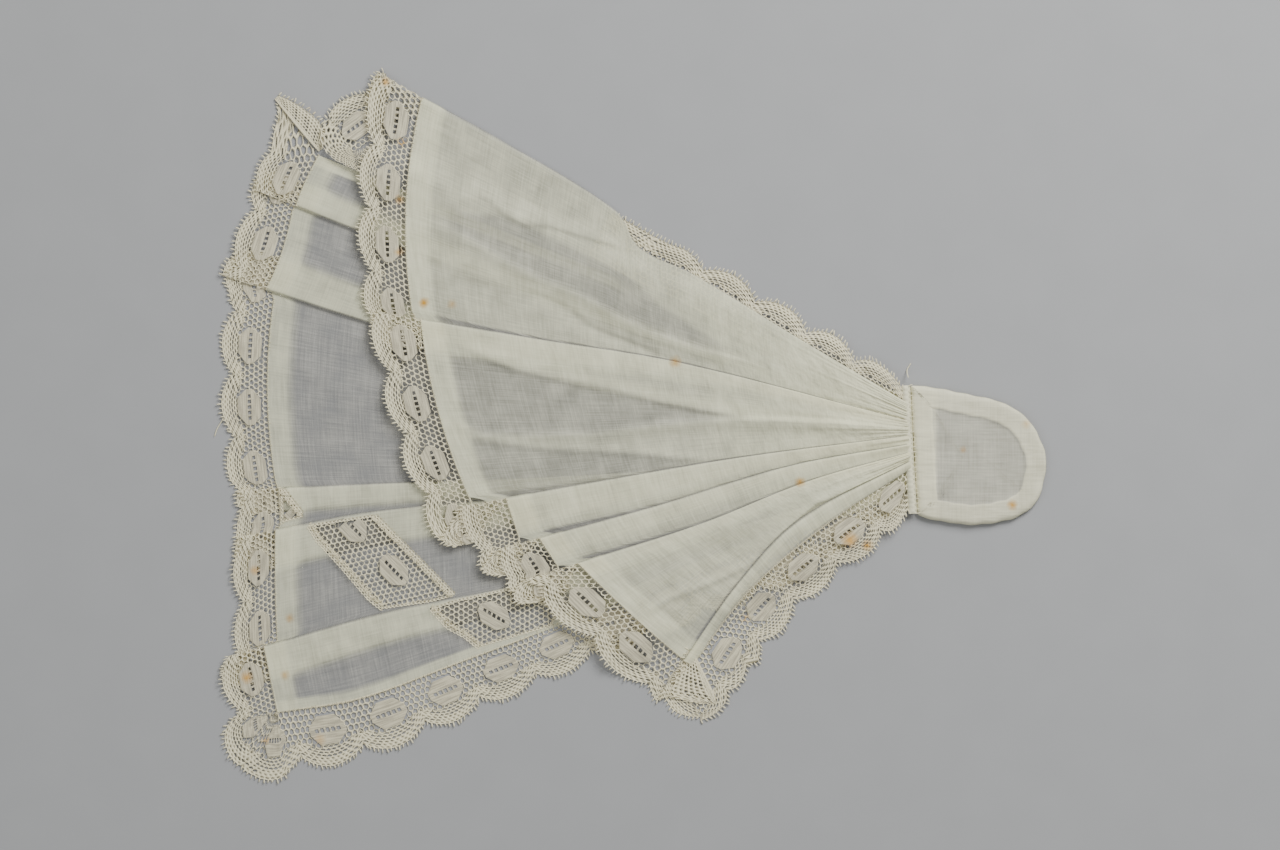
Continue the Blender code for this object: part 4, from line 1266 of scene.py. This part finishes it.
def insertion_piece(stretch):
    """One stretch: net and leaves inside its outline, a looped border on it and stitches over that."""
    corners = np.array(INSERTIONS[stretch.node])
    along = unit(np.array(stretch.along))
    out = -left_of(along)
    rows = straight_rows(0, NET_ROW)
    spots, faces, facing = together([
        ground(-60, 60, NET_PITCH, range(-7, 8), rows, insertion_opening, NET_THREAD),
        *(leaf(number * SCALLOP, 0.0) for number in range(-3, 4)),
    ])
    place = np.array(stretch.heart) + spots[:, :1] * along + spots[:, 1:2] * out
    kept = within(place, corners)[faces].all(axis=1)
    used, numbers = np.unique(faces[kept], return_inverse=True)
    spots, place = spots[used], place[used]
    points = np.column_stack([place, over_cloth(*place.T) + spots[:, 2]])
    ring = np.concatenate([corners, corners[:1]])
    length = run_along(ring)
    run = np.linspace(0.0, length[-1], max(12, round(length[-1] / 0.8)))
    round_it = traced(run, length, ring)
    side = unit(-left_of(np.gradient(round_it, axis=0)))

    def border_opening(p, row):
        """Three rows of small loops down the long sides, and one where a pleat crosses."""
        crossing = np.abs(traced(p, run, side) @ along) > CROSSING
        loops = 0.34 + 0.14 * np.sin(7.7 * p + 4.1 * row)
        return np.where(crossing & (row != 1), 0.0, np.where(crossing, 0.12, loops))

    rows = straight_rows(-0.8 * INSERTION_BORDER, INSERTION_BORDER)
    rim_spots, *rim_faces = ground(
        0.0, length[-1], BORDER_MESH, range(3), rows, border_opening, BORDER_THREAD, BORDER_LONG
    )
    along_rim, away, _ = rim_spots.T
    place = traced(along_rim, run, round_it) + traced(along_rim, run, side) * away[:, None]
    rim = np.column_stack([place, over_cloth(*place.T, RESTS) + rim_spots[:, 2]])
    joined = together([(points, numbers.reshape(-1, 4), facing[kept]), (rim, *rim_faces)])
    piece = lace_shape(stretch.node + "_lace", *joined, np.concatenate([spots, rim_spots]))
    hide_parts(stretch.node)
    whipped = np.column_stack([round_it, over_cloth(*round_it.T, RESTS) + 0.08])
    ways = np.column_stack([side, np.zeros(len(side))])
    crossed = np.abs(side @ along) > CROSSING
    parts = np.split(np.arange(len(run)), np.nonzero(np.diff(crossed))[0] + 1)
    chains = [(whipped[part], ways[part]) for part in parts if not crossed[part[0]] and len(part) > 2]
    stitches = threads_along(stretch.node + "_whipping", chains, *BORDER_STITCH)
    x, y = corners.T
    area = 0.5 * abs(np.sum(x * np.roll(y, -1) - y * np.roll(x, -1)))
    area = INSERTION_SPARE * (area + INSERTION_TURNED * length[-1]) * MM * MM


for stretch in STRETCHES:
    insertion_piece(stretch)

# Upper frill: a second strip of the same lawn over the first, its top turned under in a rolled fold,
# with five deep pleats and fine gathers at the seam. It rests on the lower frill and drops off it.
UPPER_RISE = 1.8
FLAP_RISE = 0.8
DROP_START, DROP_WIDTH = 2.5, 8.0  # how far past the lower frill this one starts to drop, and in what width
LOWER_TOP_EDGE = ((-94.0, 83.0), (82.0, 9.0))
LOWER_SIDE_EDGE = ((82.0, -25.0), (-10.5, -68.0))
FLAP_X, FLAP_RAMP = -74.0, 10.0  # up to here the turned flap holds the frill up, and then less and less
FLAP_TURNED = (30.0, 1.5)  # depth of the flap at the hem and at the seam
FOLD_WAY = Splay((-0.862, 0.507), 0.14, 6.5)
UPPER_FOLDS = {
    "top fold": (((-40.0, 86.0), (-5.0, 64.5), (2.0, 53.5), (19.0, 45.0), (50.0, 26.0)), 7.0),
    "first": (((-28.0, 26.0), (14.0, 19.0)), 1.5),
    "second": (((-10.0, -16.5), (32.0, -9.5)), -3.0),
    "third": (((5.0, -24.5), (47.0, -12.0)), -5.5),
    "fourth": (((20.0, -29.5), (53.0, -16.5)), -8.0),
    "ridge": (((32.0, -46.5), (50.0, -28.0)), -10.5),
    "low side": (((35.0, -49.5), (59.0, -29.0)), -13.0),
}
UPPER_GORES = (
    Gore("top fold", (-63.0, 98.5), "rolled", "first", (-66.0, 34.0), "under", 3.3, 10.0, 1.0, 0.3),
    Gore("first", (-63.5, 32.0), "soft", "second", (-49.0, -21.5), "under", 2.1, 8.0, 1.0, 0.3),
    Gore("second", (-38.0, -21.5), "over", "third", (-34.0, -33.5), "under", 0.0, 6.0, 1.0, 0.2),
    Gore("third", (-28.0, -33.5), "over", "fourth", (-22.5, -42.0), "under", 0.0, 9.0, 1.0, 0.2),
    Gore("fourth", (-16.5, -41.0), "over", "ridge", (15.0, -70.0), "under", 0.5, 12.5, 1.1, 0.6),
    Gore("ridge", (15.2, -70.4), "over", "low side", (18.0, -71.8), "free", 0.0, 9.0, 1.0, 0.5),
)
UPPER_PLEATS = (
    Pleat(1, "a", 9.5, 1.0, 1.0),
    Pleat(2, "a", 11.0, 1.0, 10.5),
    Pleat(3, "a", 8.0, 0.8, 7.5),
    Pleat(4, "a", 6.0, 0.8, 7.5),
    Pleat(5, "a", 2.5, 0.6, 0.0),
)
# The cloth shows thin in three long wedges between these lines, and lies double outside them.
WEDGE_STRENGTHS = (0.45, 0.5, 0.46)
THIN_WEDGES = (
    (
        (
            (-60.0, 64.0), (-39.8, 62.8), (-27.8, 58.0), (-19.9, 53.9), (-9.8, 49.0), (-2.2, 45.4),
            (8.2, 36.1), (19.6, 28.6), (35.9, 19.3),
        ),
        (
            (-60.0, 61.0), (-58.3, 60.4), (-49.0, 55.9), (-38.5, 49.6), (-28.1, 44.2),
            (-19.9, 41.2), (-11.5, 37.0), (-5.2, 32.9), (5.2, 27.8), (19.6, 22.9), (35.9, 18.6),
        ),
    ),
    (
        (
            (-64.0, 28.0), (-53.2, 24.8), (-35.5, 16.9), (-25.1, 14.8), (-7.3, 11.2), (9.2, 7.0),
            (19.6, 5.0), (38.2, 2.3),
        ),
        (
            (-62.0, 5.0), (-51.1, 0.8), (-44.9, -2.5), (-30.1, -2.9), (-11.5, -2.4), (3.1, -0.4),
            (19.6, 1.3), (38.2, 1.9),
        ),
    ),
    (
        (
            (-56.0, -4.0), (-46.4, -4.3), (-38.5, -5.5), (-25.9, -7.0), (-11.5, -7.6), (1.9, -8.5),
            (13.3, -9.8), (26.8, -10.2),
        ),
        (
            (-56.0, -21.6), (-47.9, -21.1), (-32.2, -20.6), (-15.8, -17.6), (3.1, -14.2),
            (20.8, -11.2), (34.4, -10.2),
        ),
    ),
)
UPPER_CREASES = (
    Crease((
        (-45.8, 70.3), (-38.5, 63.8), (-32.2, 60.4), (-25.1, 60.1), (-17.8, 57.9), (-7.3, 54.8),
        (2.2, 52.0),
    ), 0.83, 3.0, 0.7),
    Crease((
        (-58.3, 60.4), (-49.0, 55.9), (-38.5, 49.6), (-28.1, 44.2), (-19.9, 41.2), (-11.5, 37.0),
        (-5.2, 32.9), (5.2, 27.8), (19.6, 22.9), (35.9, 18.4),
    ), 0.75, 0.7, 2.4),
    Crease((
        (-33.8, 40.6), (-25.1, 37.6), (-19.9, 35.2), (-13.7, 29.8), (-7.3, 27.1), (1.9, 23.6),
        (11.2, 19.3),
    ), -0.60, 0.9, 2.0),
    Crease((
        (-53.2, 24.8), (-35.5, 16.9), (-25.1, 14.8), (-7.3, 11.2), (9.2, 7.0), (19.6, 5.0),
        (38.2, 1.3),
    ), 0.52, 2.2, 0.9),
    Crease((
        (-51.1, 0.8), (-44.9, -2.5), (-30.1, -2.9), (-11.5, -2.4), (3.1, -0.4), (19.6, 1.3),
        (38.2, 1.6), (59.2, 0.8), (80.8, -0.8),
    ), 0.98, 0.8, 2.6),
    Crease((
        (-46.4, -4.3), (-38.5, -5.5), (-25.9, -7.0), (-11.5, -7.6), (1.9, -8.5), (13.3, -9.8),
        (26.8, -10.0),
    ), 0.45, 1.8, 0.8),
    Crease(((40.4, -36.8), (49.9, -27.4), (55.0, -23.2), (65.2, -19.1), (79.0, -12.8)), 0.75, 1.6, 0.8),
    Crease(((2.2, -57.4), (11.2, -51.8), (26.2, -45.8), (38.2, -39.8)), 0.68, 1.5, 1.0),
)
WEDGE_SOFT = (2.4, 1.6, 9.0, 20.0)  # how softly a wedge ends: above, below, at the hem and the seam
UPPER_DOUBLED = 0.9  # layers that lie under the cloth outside them
GATHERS, GATHER_RISE, GATHER_SEED = 40, 0.3, 11  # fine ones that leave the upper seam
UPPER_GATHERED = 0.5


def inside_of(x, y, line):
    """How far inside a straight edge each place is."""
    start, end = np.array(line)
    return swing(np.stack([x, y], -1) - start, unit(end - start))


def over_lower(x, y):
    """Whether the lower frill is under a place: 1 over it, 0 past its edges."""
    inside = np.minimum(inside_of(x, y, LOWER_TOP_EDGE), inside_of(x, y, LOWER_SIDE_EDGE))
    return eased((inside + DROP_START + DROP_WIDTH) / DROP_WIDTH)


def upper_rise(x, y):
    """How high the upper frill rests: on the lower one, or past its edge on its own flap."""
    flap = 1.0 - eased((x - FLAP_X) / FLAP_RAMP)
    share = over_lower(x, y)
    return UPPER_RISE * share + FLAP_RISE * flap * (1.0 - share)


def gathered(run, down, length):
    """Fine gathers that leave the seam, each with its own place, width, height and length."""
    chance = np.random.default_rng(GATHER_SEED)
    total = np.zeros(run.shape)
    for k in range(GATHERS):
        middle = length * (k + 0.5 + chance.uniform(-0.35, 0.35)) / GATHERS
        half = chance.uniform(0.25, 0.5) * length / GATHERS
        ends = chance.uniform(0.12, 0.5)
        drift = chance.uniform(-2.0, 2.0)
        crest = np.exp(-(((run - middle - drift * down) / half) ** 2))
        total += GATHER_RISE * chance.uniform(0.5, 1.0) * crest * (1 - eased(down / ends))
    return total


def upper_layers(run, down, x, y):
    """Two layers, but nearer one in the thin wedges, and more towards the gathers; and the relief."""
    thin = np.zeros(x.shape)
    top_soft, low_soft, hem_soft, seam_soft = WEDGE_SOFT
    for strength, (above, below) in zip(WEDGE_STRENGTHS, THIN_WEDGES):
        top = np.interp(x, *np.array(above).T)
        low = np.interp(x, *np.array(below).T)
        share = eased((top - y) / top_soft + 0.5) * eased((y - low) / low_soft + 0.5)
        share *= eased((x - above[0][0]) / hem_soft) * eased((above[-1][0] - x) / seam_soft)
        thin = np.maximum(thin, strength * share)
    top_ply = np.zeros(x.shape)
    for ply in upper.plies:
        if ply.layer == "top":
            top_ply += (run > ply.start) & (run < ply.end)
    gathers = GATHERED * eased((UPPER_GATHERED - down) / UPPER_GATHERED)
    layers = 1.0 + (1 - thin) * (UPPER_DOUBLED + gathers) * top_ply
    relief = creased(x, y, UPPER_CREASES) * top_ply
    return layers, relief + gathered(run, down, upper.run)


upper = Tier(UPPER_GORES, UPPER_FOLDS, UPPER_PLEATS, upper_rise, FOLD_WAY, FLAP_TURNED)
upper_cloth = frill_sheet(upper, rows=120, extra=upper_layers)
frill_piece("upper_frill", upper_cloth)

# Upper edging: the same lace, whipped to the hem, folded in a mitre at the low corner and on up the
# side. That of the turned flap peeps out along the rolled fold, and is spread in a fan at the left.
UPPER_SIDE = Side(14.8, False, 16.8, 14.4, 12.5, 9.0)
TOP_LACE_FROM = 4.0  # place along X where the lace is no longer drawn tight
TOP_LACE_TIGHT = 15.5  # length that is, before it
TOP_LACE_START = 9.7  # place in the pattern where that length ends
TOP_SHOWS = (2.1, 3.3)  # how much of the lace peeps out, at its start and at the seam
FLAP_LACE_HUB = (-83.8, 82.0)  # foot of the fan
FLAP_LACE_BEND = -5.7  # place in the pattern where the fan ends and the lace runs straight
FLAP_LACE_END = 16.0
FLAP_LACE_RISE, FLAP_LACE_LIFT = 1.15, 0.3  # over the lower frill, and everywhere
# The fan round the flap's corner: way out in degrees, and share of the width that is spread there.
FLAP_FAN = (
    (126, 153, 171, 194, 225, 270, 298, 330, 380),
    (1.0, 0.86, 0.72, 0.51, 0.36, 0.38, 0.56, 0.5, 0.46),
)
FLAP_FAN_LONG = 33.0
FLAP_FAN_START = FLAP_LACE_BEND - FLAP_FAN_LONG

UPPER_FOLD = Doubled(
    (17.8, -67.0), (24.8, -83.2), (-1.0, -0.05), 18.0, 0.5,
    (0, 0.25, 0.5, 0.7, 0.8, 0.9, 1), (1.2, 4.5, 8.5, 11.5, 12.5, 10.0, 4.0),
)

upper_way = side_way(upper, hem_way(upper, turned_under=True, crushed=(2,)), UPPER_SIDE)
sewn_edging("upper_lace", upper_way, ("upper_hem_lace", "upper_side_lace"))
doubled_lace("upper_fold", UPPER_FOLD, upper_rise)


def top_way():
    """The flap's lace: drawn tight where it comes out of the rolled fold, then in scallops."""
    distance, edge, outs = side_edge(upper, 0, 0.0, 1.0)
    first = np.argmax(edge[:, 0] > TOP_LACE_FROM)
    along = unit(edge[first + 2] - edge[first])
    before = np.linspace(TOP_LACE_TIGHT, 0.5, 20)
    edge = np.concatenate([edge[first] - along * before[:, None], edge[first:]])
    outs = np.concatenate([np.tile(outs[first + 12], (len(before), 1)), outs[first:]])
    p = np.concatenate([-before, distance[first:] - distance[first]]) + TOP_LACE_START
    shows = np.interp(p, (0.0, p[-1]), TOP_SHOWS)
    feet = edge - outs * (LACE_VALLEY - shows)[:, None]
    tight = np.where(p < SCALLOP, (LACE_TIP - 0.2) / edging_width(p), 1.0)
    return Way(p, feet, outs * tight[:, None], np.zeros(len(p)), upper_rise, plain=range(-9, 30))


def turned_way():
    """The flap's lace: spread in a fan round its corner, then straight to where the hem's covers it."""
    degrees, shares = FLAP_FAN
    p = np.concatenate([np.linspace(FLAP_FAN_START, FLAP_LACE_BEND, 90), [FLAP_LACE_END]])
    turned = np.clip((FLAP_LACE_BEND - p) / FLAP_FAN_LONG, 0, 1) * (degrees[-1] - degrees[0]) + degrees[0]
    angle = np.radians(turned)
    outs = np.stack([np.cos(angle), np.sin(angle)], 1)
    feet = np.array(FLAP_LACE_HUB) - np.maximum(0.0, p - FLAP_LACE_BEND)[:, None] * left_of(outs[-1])
    outs *= np.interp(turned, degrees, shares)[:, None]
    lift = np.full(len(p), FLAP_LACE_LIFT)
    return Way(p, feet, outs, lift, lambda x, y: FLAP_LACE_RISE * over_lower(x, y))


def fan_opening(p, row):
    """The spread net is drawn close, and opens again where it runs back under the hem's lace."""
    close = (p > FLAP_LACE_BEND - 0.62 * FLAP_FAN_LONG) | (row > 7.5)
    return np.where(close, 0.46 + 0.1 * np.sin(7.7 * p + 4.1 * row), NET_OPEN)


sewn_edging("upper_top", top_way(), ("upper_top_lace",), stitches=False)
turned_flat = together([
    edging(FLAP_LACE_BEND, FLAP_LACE_END, footed=False),
    ground(FLAP_FAN_START, FLAP_LACE_BEND, NET_PITCH, range(9), net_row, fan_opening, NET_THREAD),
])
sewn_edging(
    "upper_turned", turned_way(), ("upper_turned_lace",), turned_flat,
    FLAP_LACE_BEND - 3.0, stitches=False,
)

# Tab: two D-shaped layers of lawn, their edges turned in 6 mm all round, closed over the gathers of
# both frills and stitched down along the seam.
TAB_OUTLINE = (
    (83.0, 12.6), (91.0, 11.4), (99.0, 10.0), (110.0, 7.5), (115.5, 5.0), (120.0, 0.5), (123.5, -6.0),
    (124.4, -10.5), (123.5, -17.0), (122.0, -22.5), (118.5, -25.8), (114.0, -28.3),
    (108.0, -29.6), (100.0, -30.0), (92.5, -29.0), (85.2, -27.2),
)
TAB_LAWN_COLOUR = (0.83, 0.80, 0.58)
TAB_LAWN_SHADE = (0.76, 0.735, 0.53)
# Painted shade: the tab's single layer is coloured darker and greyer than where its edge is turned in.
TAB_PAINTED_SHADE_COLOUR = (0.72, 0.705, 0.58)
TAB_PAINTED_SHADE_DARK = (0.62, 0.605, 0.50)
TAB_THREADBARE = 0.40  # how thin it looks in a single layer, 0 for closed cloth
TAB_ROUND = 1.3  # width over which its edge is rounded
TAB_TURN = 6.0  # how far the edge is turned in
TAB_INSETS = (0.0, 0.25, 0.7, 1.3, 2.5, 4.0, 5.4, 5.9, 6.3, 7.0)
TURNED_IN, SINGLE = (1.0, 1.9), (0.72, 0.75)  # share of the height, and layers of cloth
TAB_SEAM_X = 90.5  # the tab is denser this side of it, where the seam's turnings lie
TAB_HEIGHTS = {"tab_back": (0.12, 1.05), "tab_front": (1.3, 2.35)}

tab_lawn = woven_lawn(
    "tab lawn", TAB_THREADBARE, TAB_LAWN_SHADE, TAB_LAWN_COLOUR, TAB_PAINTED_SHADE_DARK, TAB_PAINTED_SHADE_COLOUR
)


def outline_points(corners, step):
    """Even points round a closed outline, its corners softened."""
    points = np.array(corners, float)
    ring = np.concatenate([points, points[:1]])
    length = run_along(ring)
    even = traced(np.linspace(0.0, length[-1], round(length[-1] / step), endpoint=False), length, ring)
    for _ in range(3):
        even = (np.roll(even, 1, axis=0) + 2 * even + np.roll(even, -1, axis=0)) / 4
    return even


def tab_panel(name, low, high):
    """One layer of the tab, higher and denser where its edge is turned in."""
    rim = outline_points(TAB_OUTLINE, 0.9)
    count = len(rim)
    inward = unit(-left_of(np.roll(rim, -1, axis=0) - np.roll(rim, 1, axis=0)))
    step = np.arange(count)
    rim = rim + inward * (0.16 + 0.1 * np.sin(0.9 * step) + 0.08 * np.sin(0.37 * step + 1.0))[:, None]
    rings, heights, layers = [], [], []
    ring = np.array(TAB_OUTLINE)
    sides = [(a, unit(b - a)) for a, b in zip(ring, np.roll(ring, -1, axis=0))]
    for inset in TAB_INSETS:
        line = rim + inward * inset
        for _ in range(3):
            for corner, way in sides:
                short = np.maximum(0.0, 0.9 * inset - swing(line - corner, way))
                line = line - left_of(way) * short[:, None]
        rings.append(line)
        thick, dense = TURNED_IN if inset < TAB_TURN else SINGLE
        heights.append(thick * (1 - (1 - min(1.0, inset / TAB_ROUND)) ** 2))
        layers.append(dense)
    inner = rings[-1]
    middle = inner.mean(axis=0)
    spine = middle + (inner - middle) * np.array((0.25, 0.0))
    for share in np.linspace(0.08, 1.0, 14):
        rings.append(inner + (spine - inner) * share)
        heights.append(SINGLE[0])
        layers.append(SINGLE[1])
    place = np.concatenate(rings)
    height = np.repeat(heights, count)
    x, y = place.T
    layer = np.repeat(layers, count) + 0.9 * (1 - eased((x - TAB_SEAM_X) / 1.5))
    wave = 0.12 * np.sin(x / 5.0 + 0.5) * np.cos(y / 4.2) + 0.06 * np.sin(x / 2.1 + y / 3.0)
    top = low + (high - low) * height + wave * (height > 0.5) * 0.6
    bottom = low + (high - low) * 0.12 * (1 - height)
    bottom[:count] = top[:count]
    points = np.concatenate([np.column_stack([place, top]), np.column_stack([place, bottom])])
    faces = grid_faces(len(rings), count, closed=True)
    under = np.where(faces < count, faces, faces + len(place))
    facing = np.repeat([1.0, -1.0], len(faces))
    faces = turned_up(points, np.concatenate([faces, under]), facing)
    piece = shape(name + "_panel", points, faces, tab_lawn, points[:, :2], np.concatenate([layer, layer]))
    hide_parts(name)
    return piece


tab_back = tab_panel("tab_back", *TAB_HEIGHTS["tab_back"])
tab_front = tab_panel("tab_front", *TAB_HEIGHTS["tab_front"])

# Seam: the gathers are caught in a narrow ridge between tab and frills, held by small stitches. One
# end of cotton is left loose at its top, and another at the hem's lace.
SEAM_LINE = ((81.9, 12.0), (82.3, 4.0), (82.9, -8.0), (83.5, -18.0), (84.0, -26.4))
SEAM_POINTS = 80
SEAM_HALF, SEAM_SINK = 1.3, 1.9  # half its width, and how far its underside lies below
SEAM_STITCH = (1.5, 1.4, 0.28, 0.3)
SEAM_HEIGHT = 2.3
SEAM_RIDGES = (
    (0, -0.5), (0.15, -0.05), (0.35, 0.25), (0.5, 0.35), (0.65, 0.25), (0.85, -0.02), (1, -0.5)
)

seam_line = drawn(SEAM_LINE, SEAM_POINTS)
seam_run = run_along(seam_line)
seam_side = left_of(unit(np.gradient(seam_line, axis=0)))
seam_spots, seam_faces, seam_facing = band(seam_run, -SEAM_HALF, SEAM_HALF, SEAM_RIDGES, SEAM_SINK)
seam_at = traced(seam_spots[:, 0], seam_run, seam_line)
seam_out = traced(seam_spots[:, 0], seam_run, seam_side)
seam_points = np.column_stack([seam_at + seam_out * seam_spots[:, 1:2], SEAM_HEIGHT + seam_spots[:, 2]])
seam_points[:, 2] += 0.15 * np.sin(seam_points[:, 1] * 4.1) * (seam_spots[:, 2] > 0)
seam_ridge = shape(
    "neck_seam", seam_points, turned_up(seam_points, seam_faces, seam_facing), tab_lawn,
    seam_spots[:, :2], np.full(len(seam_points), 3.0),
)
seam_top = np.column_stack([seam_line, np.full(SEAM_POINTS, SEAM_HEIGHT + 0.45)])
seam_ways = np.column_stack([seam_side, np.zeros(SEAM_POINTS)])
seam_stitches = threads_along("seam_stitches", [(seam_top + (0.9, 0, 0), seam_ways)], *SEAM_STITCH)

LOOSE_THREADS = {
    "tab_thread": ((82.65, 14.25, 2.2), (82.35, 15.6, 1.2), (82.4, 16.8, 0.4), (83.55, 18.75, 0.3)),
    "lace_thread": ((-122.6, 2.4, 0.6), (-123.4, 1.0, 0.4), (-124.6, -1.0, 0.25), (-125.4, -3.4, 0.25)),
}


def loose_thread(name, places, radius=0.16):
    """A short end of sewing thread."""
    points = drawn(places, 24)
    along = unit(np.gradient(points, axis=0))
    side = unit(np.cross(along, (0.0, 0.0, 1.0)))
    up = np.cross(side, along)
    turn = np.linspace(0, 2 * math.pi, 6, endpoint=False)
    taper = np.minimum(1.0, np.minimum(np.arange(24), np.arange(24)[::-1]) / 1.5)[:, None, None]
    rings = points[:, None] + radius * taper * (
        np.cos(turn)[:, None] * side[:, None] + np.sin(turn)[:, None] * up[:, None]
    )
    piece = shape(name, rings.reshape(-1, 3), grid_faces(24, 6, closed=True), lace)
    return piece


loose = [loose_thread(name, places) for name, places in LOOSE_THREADS.items()]
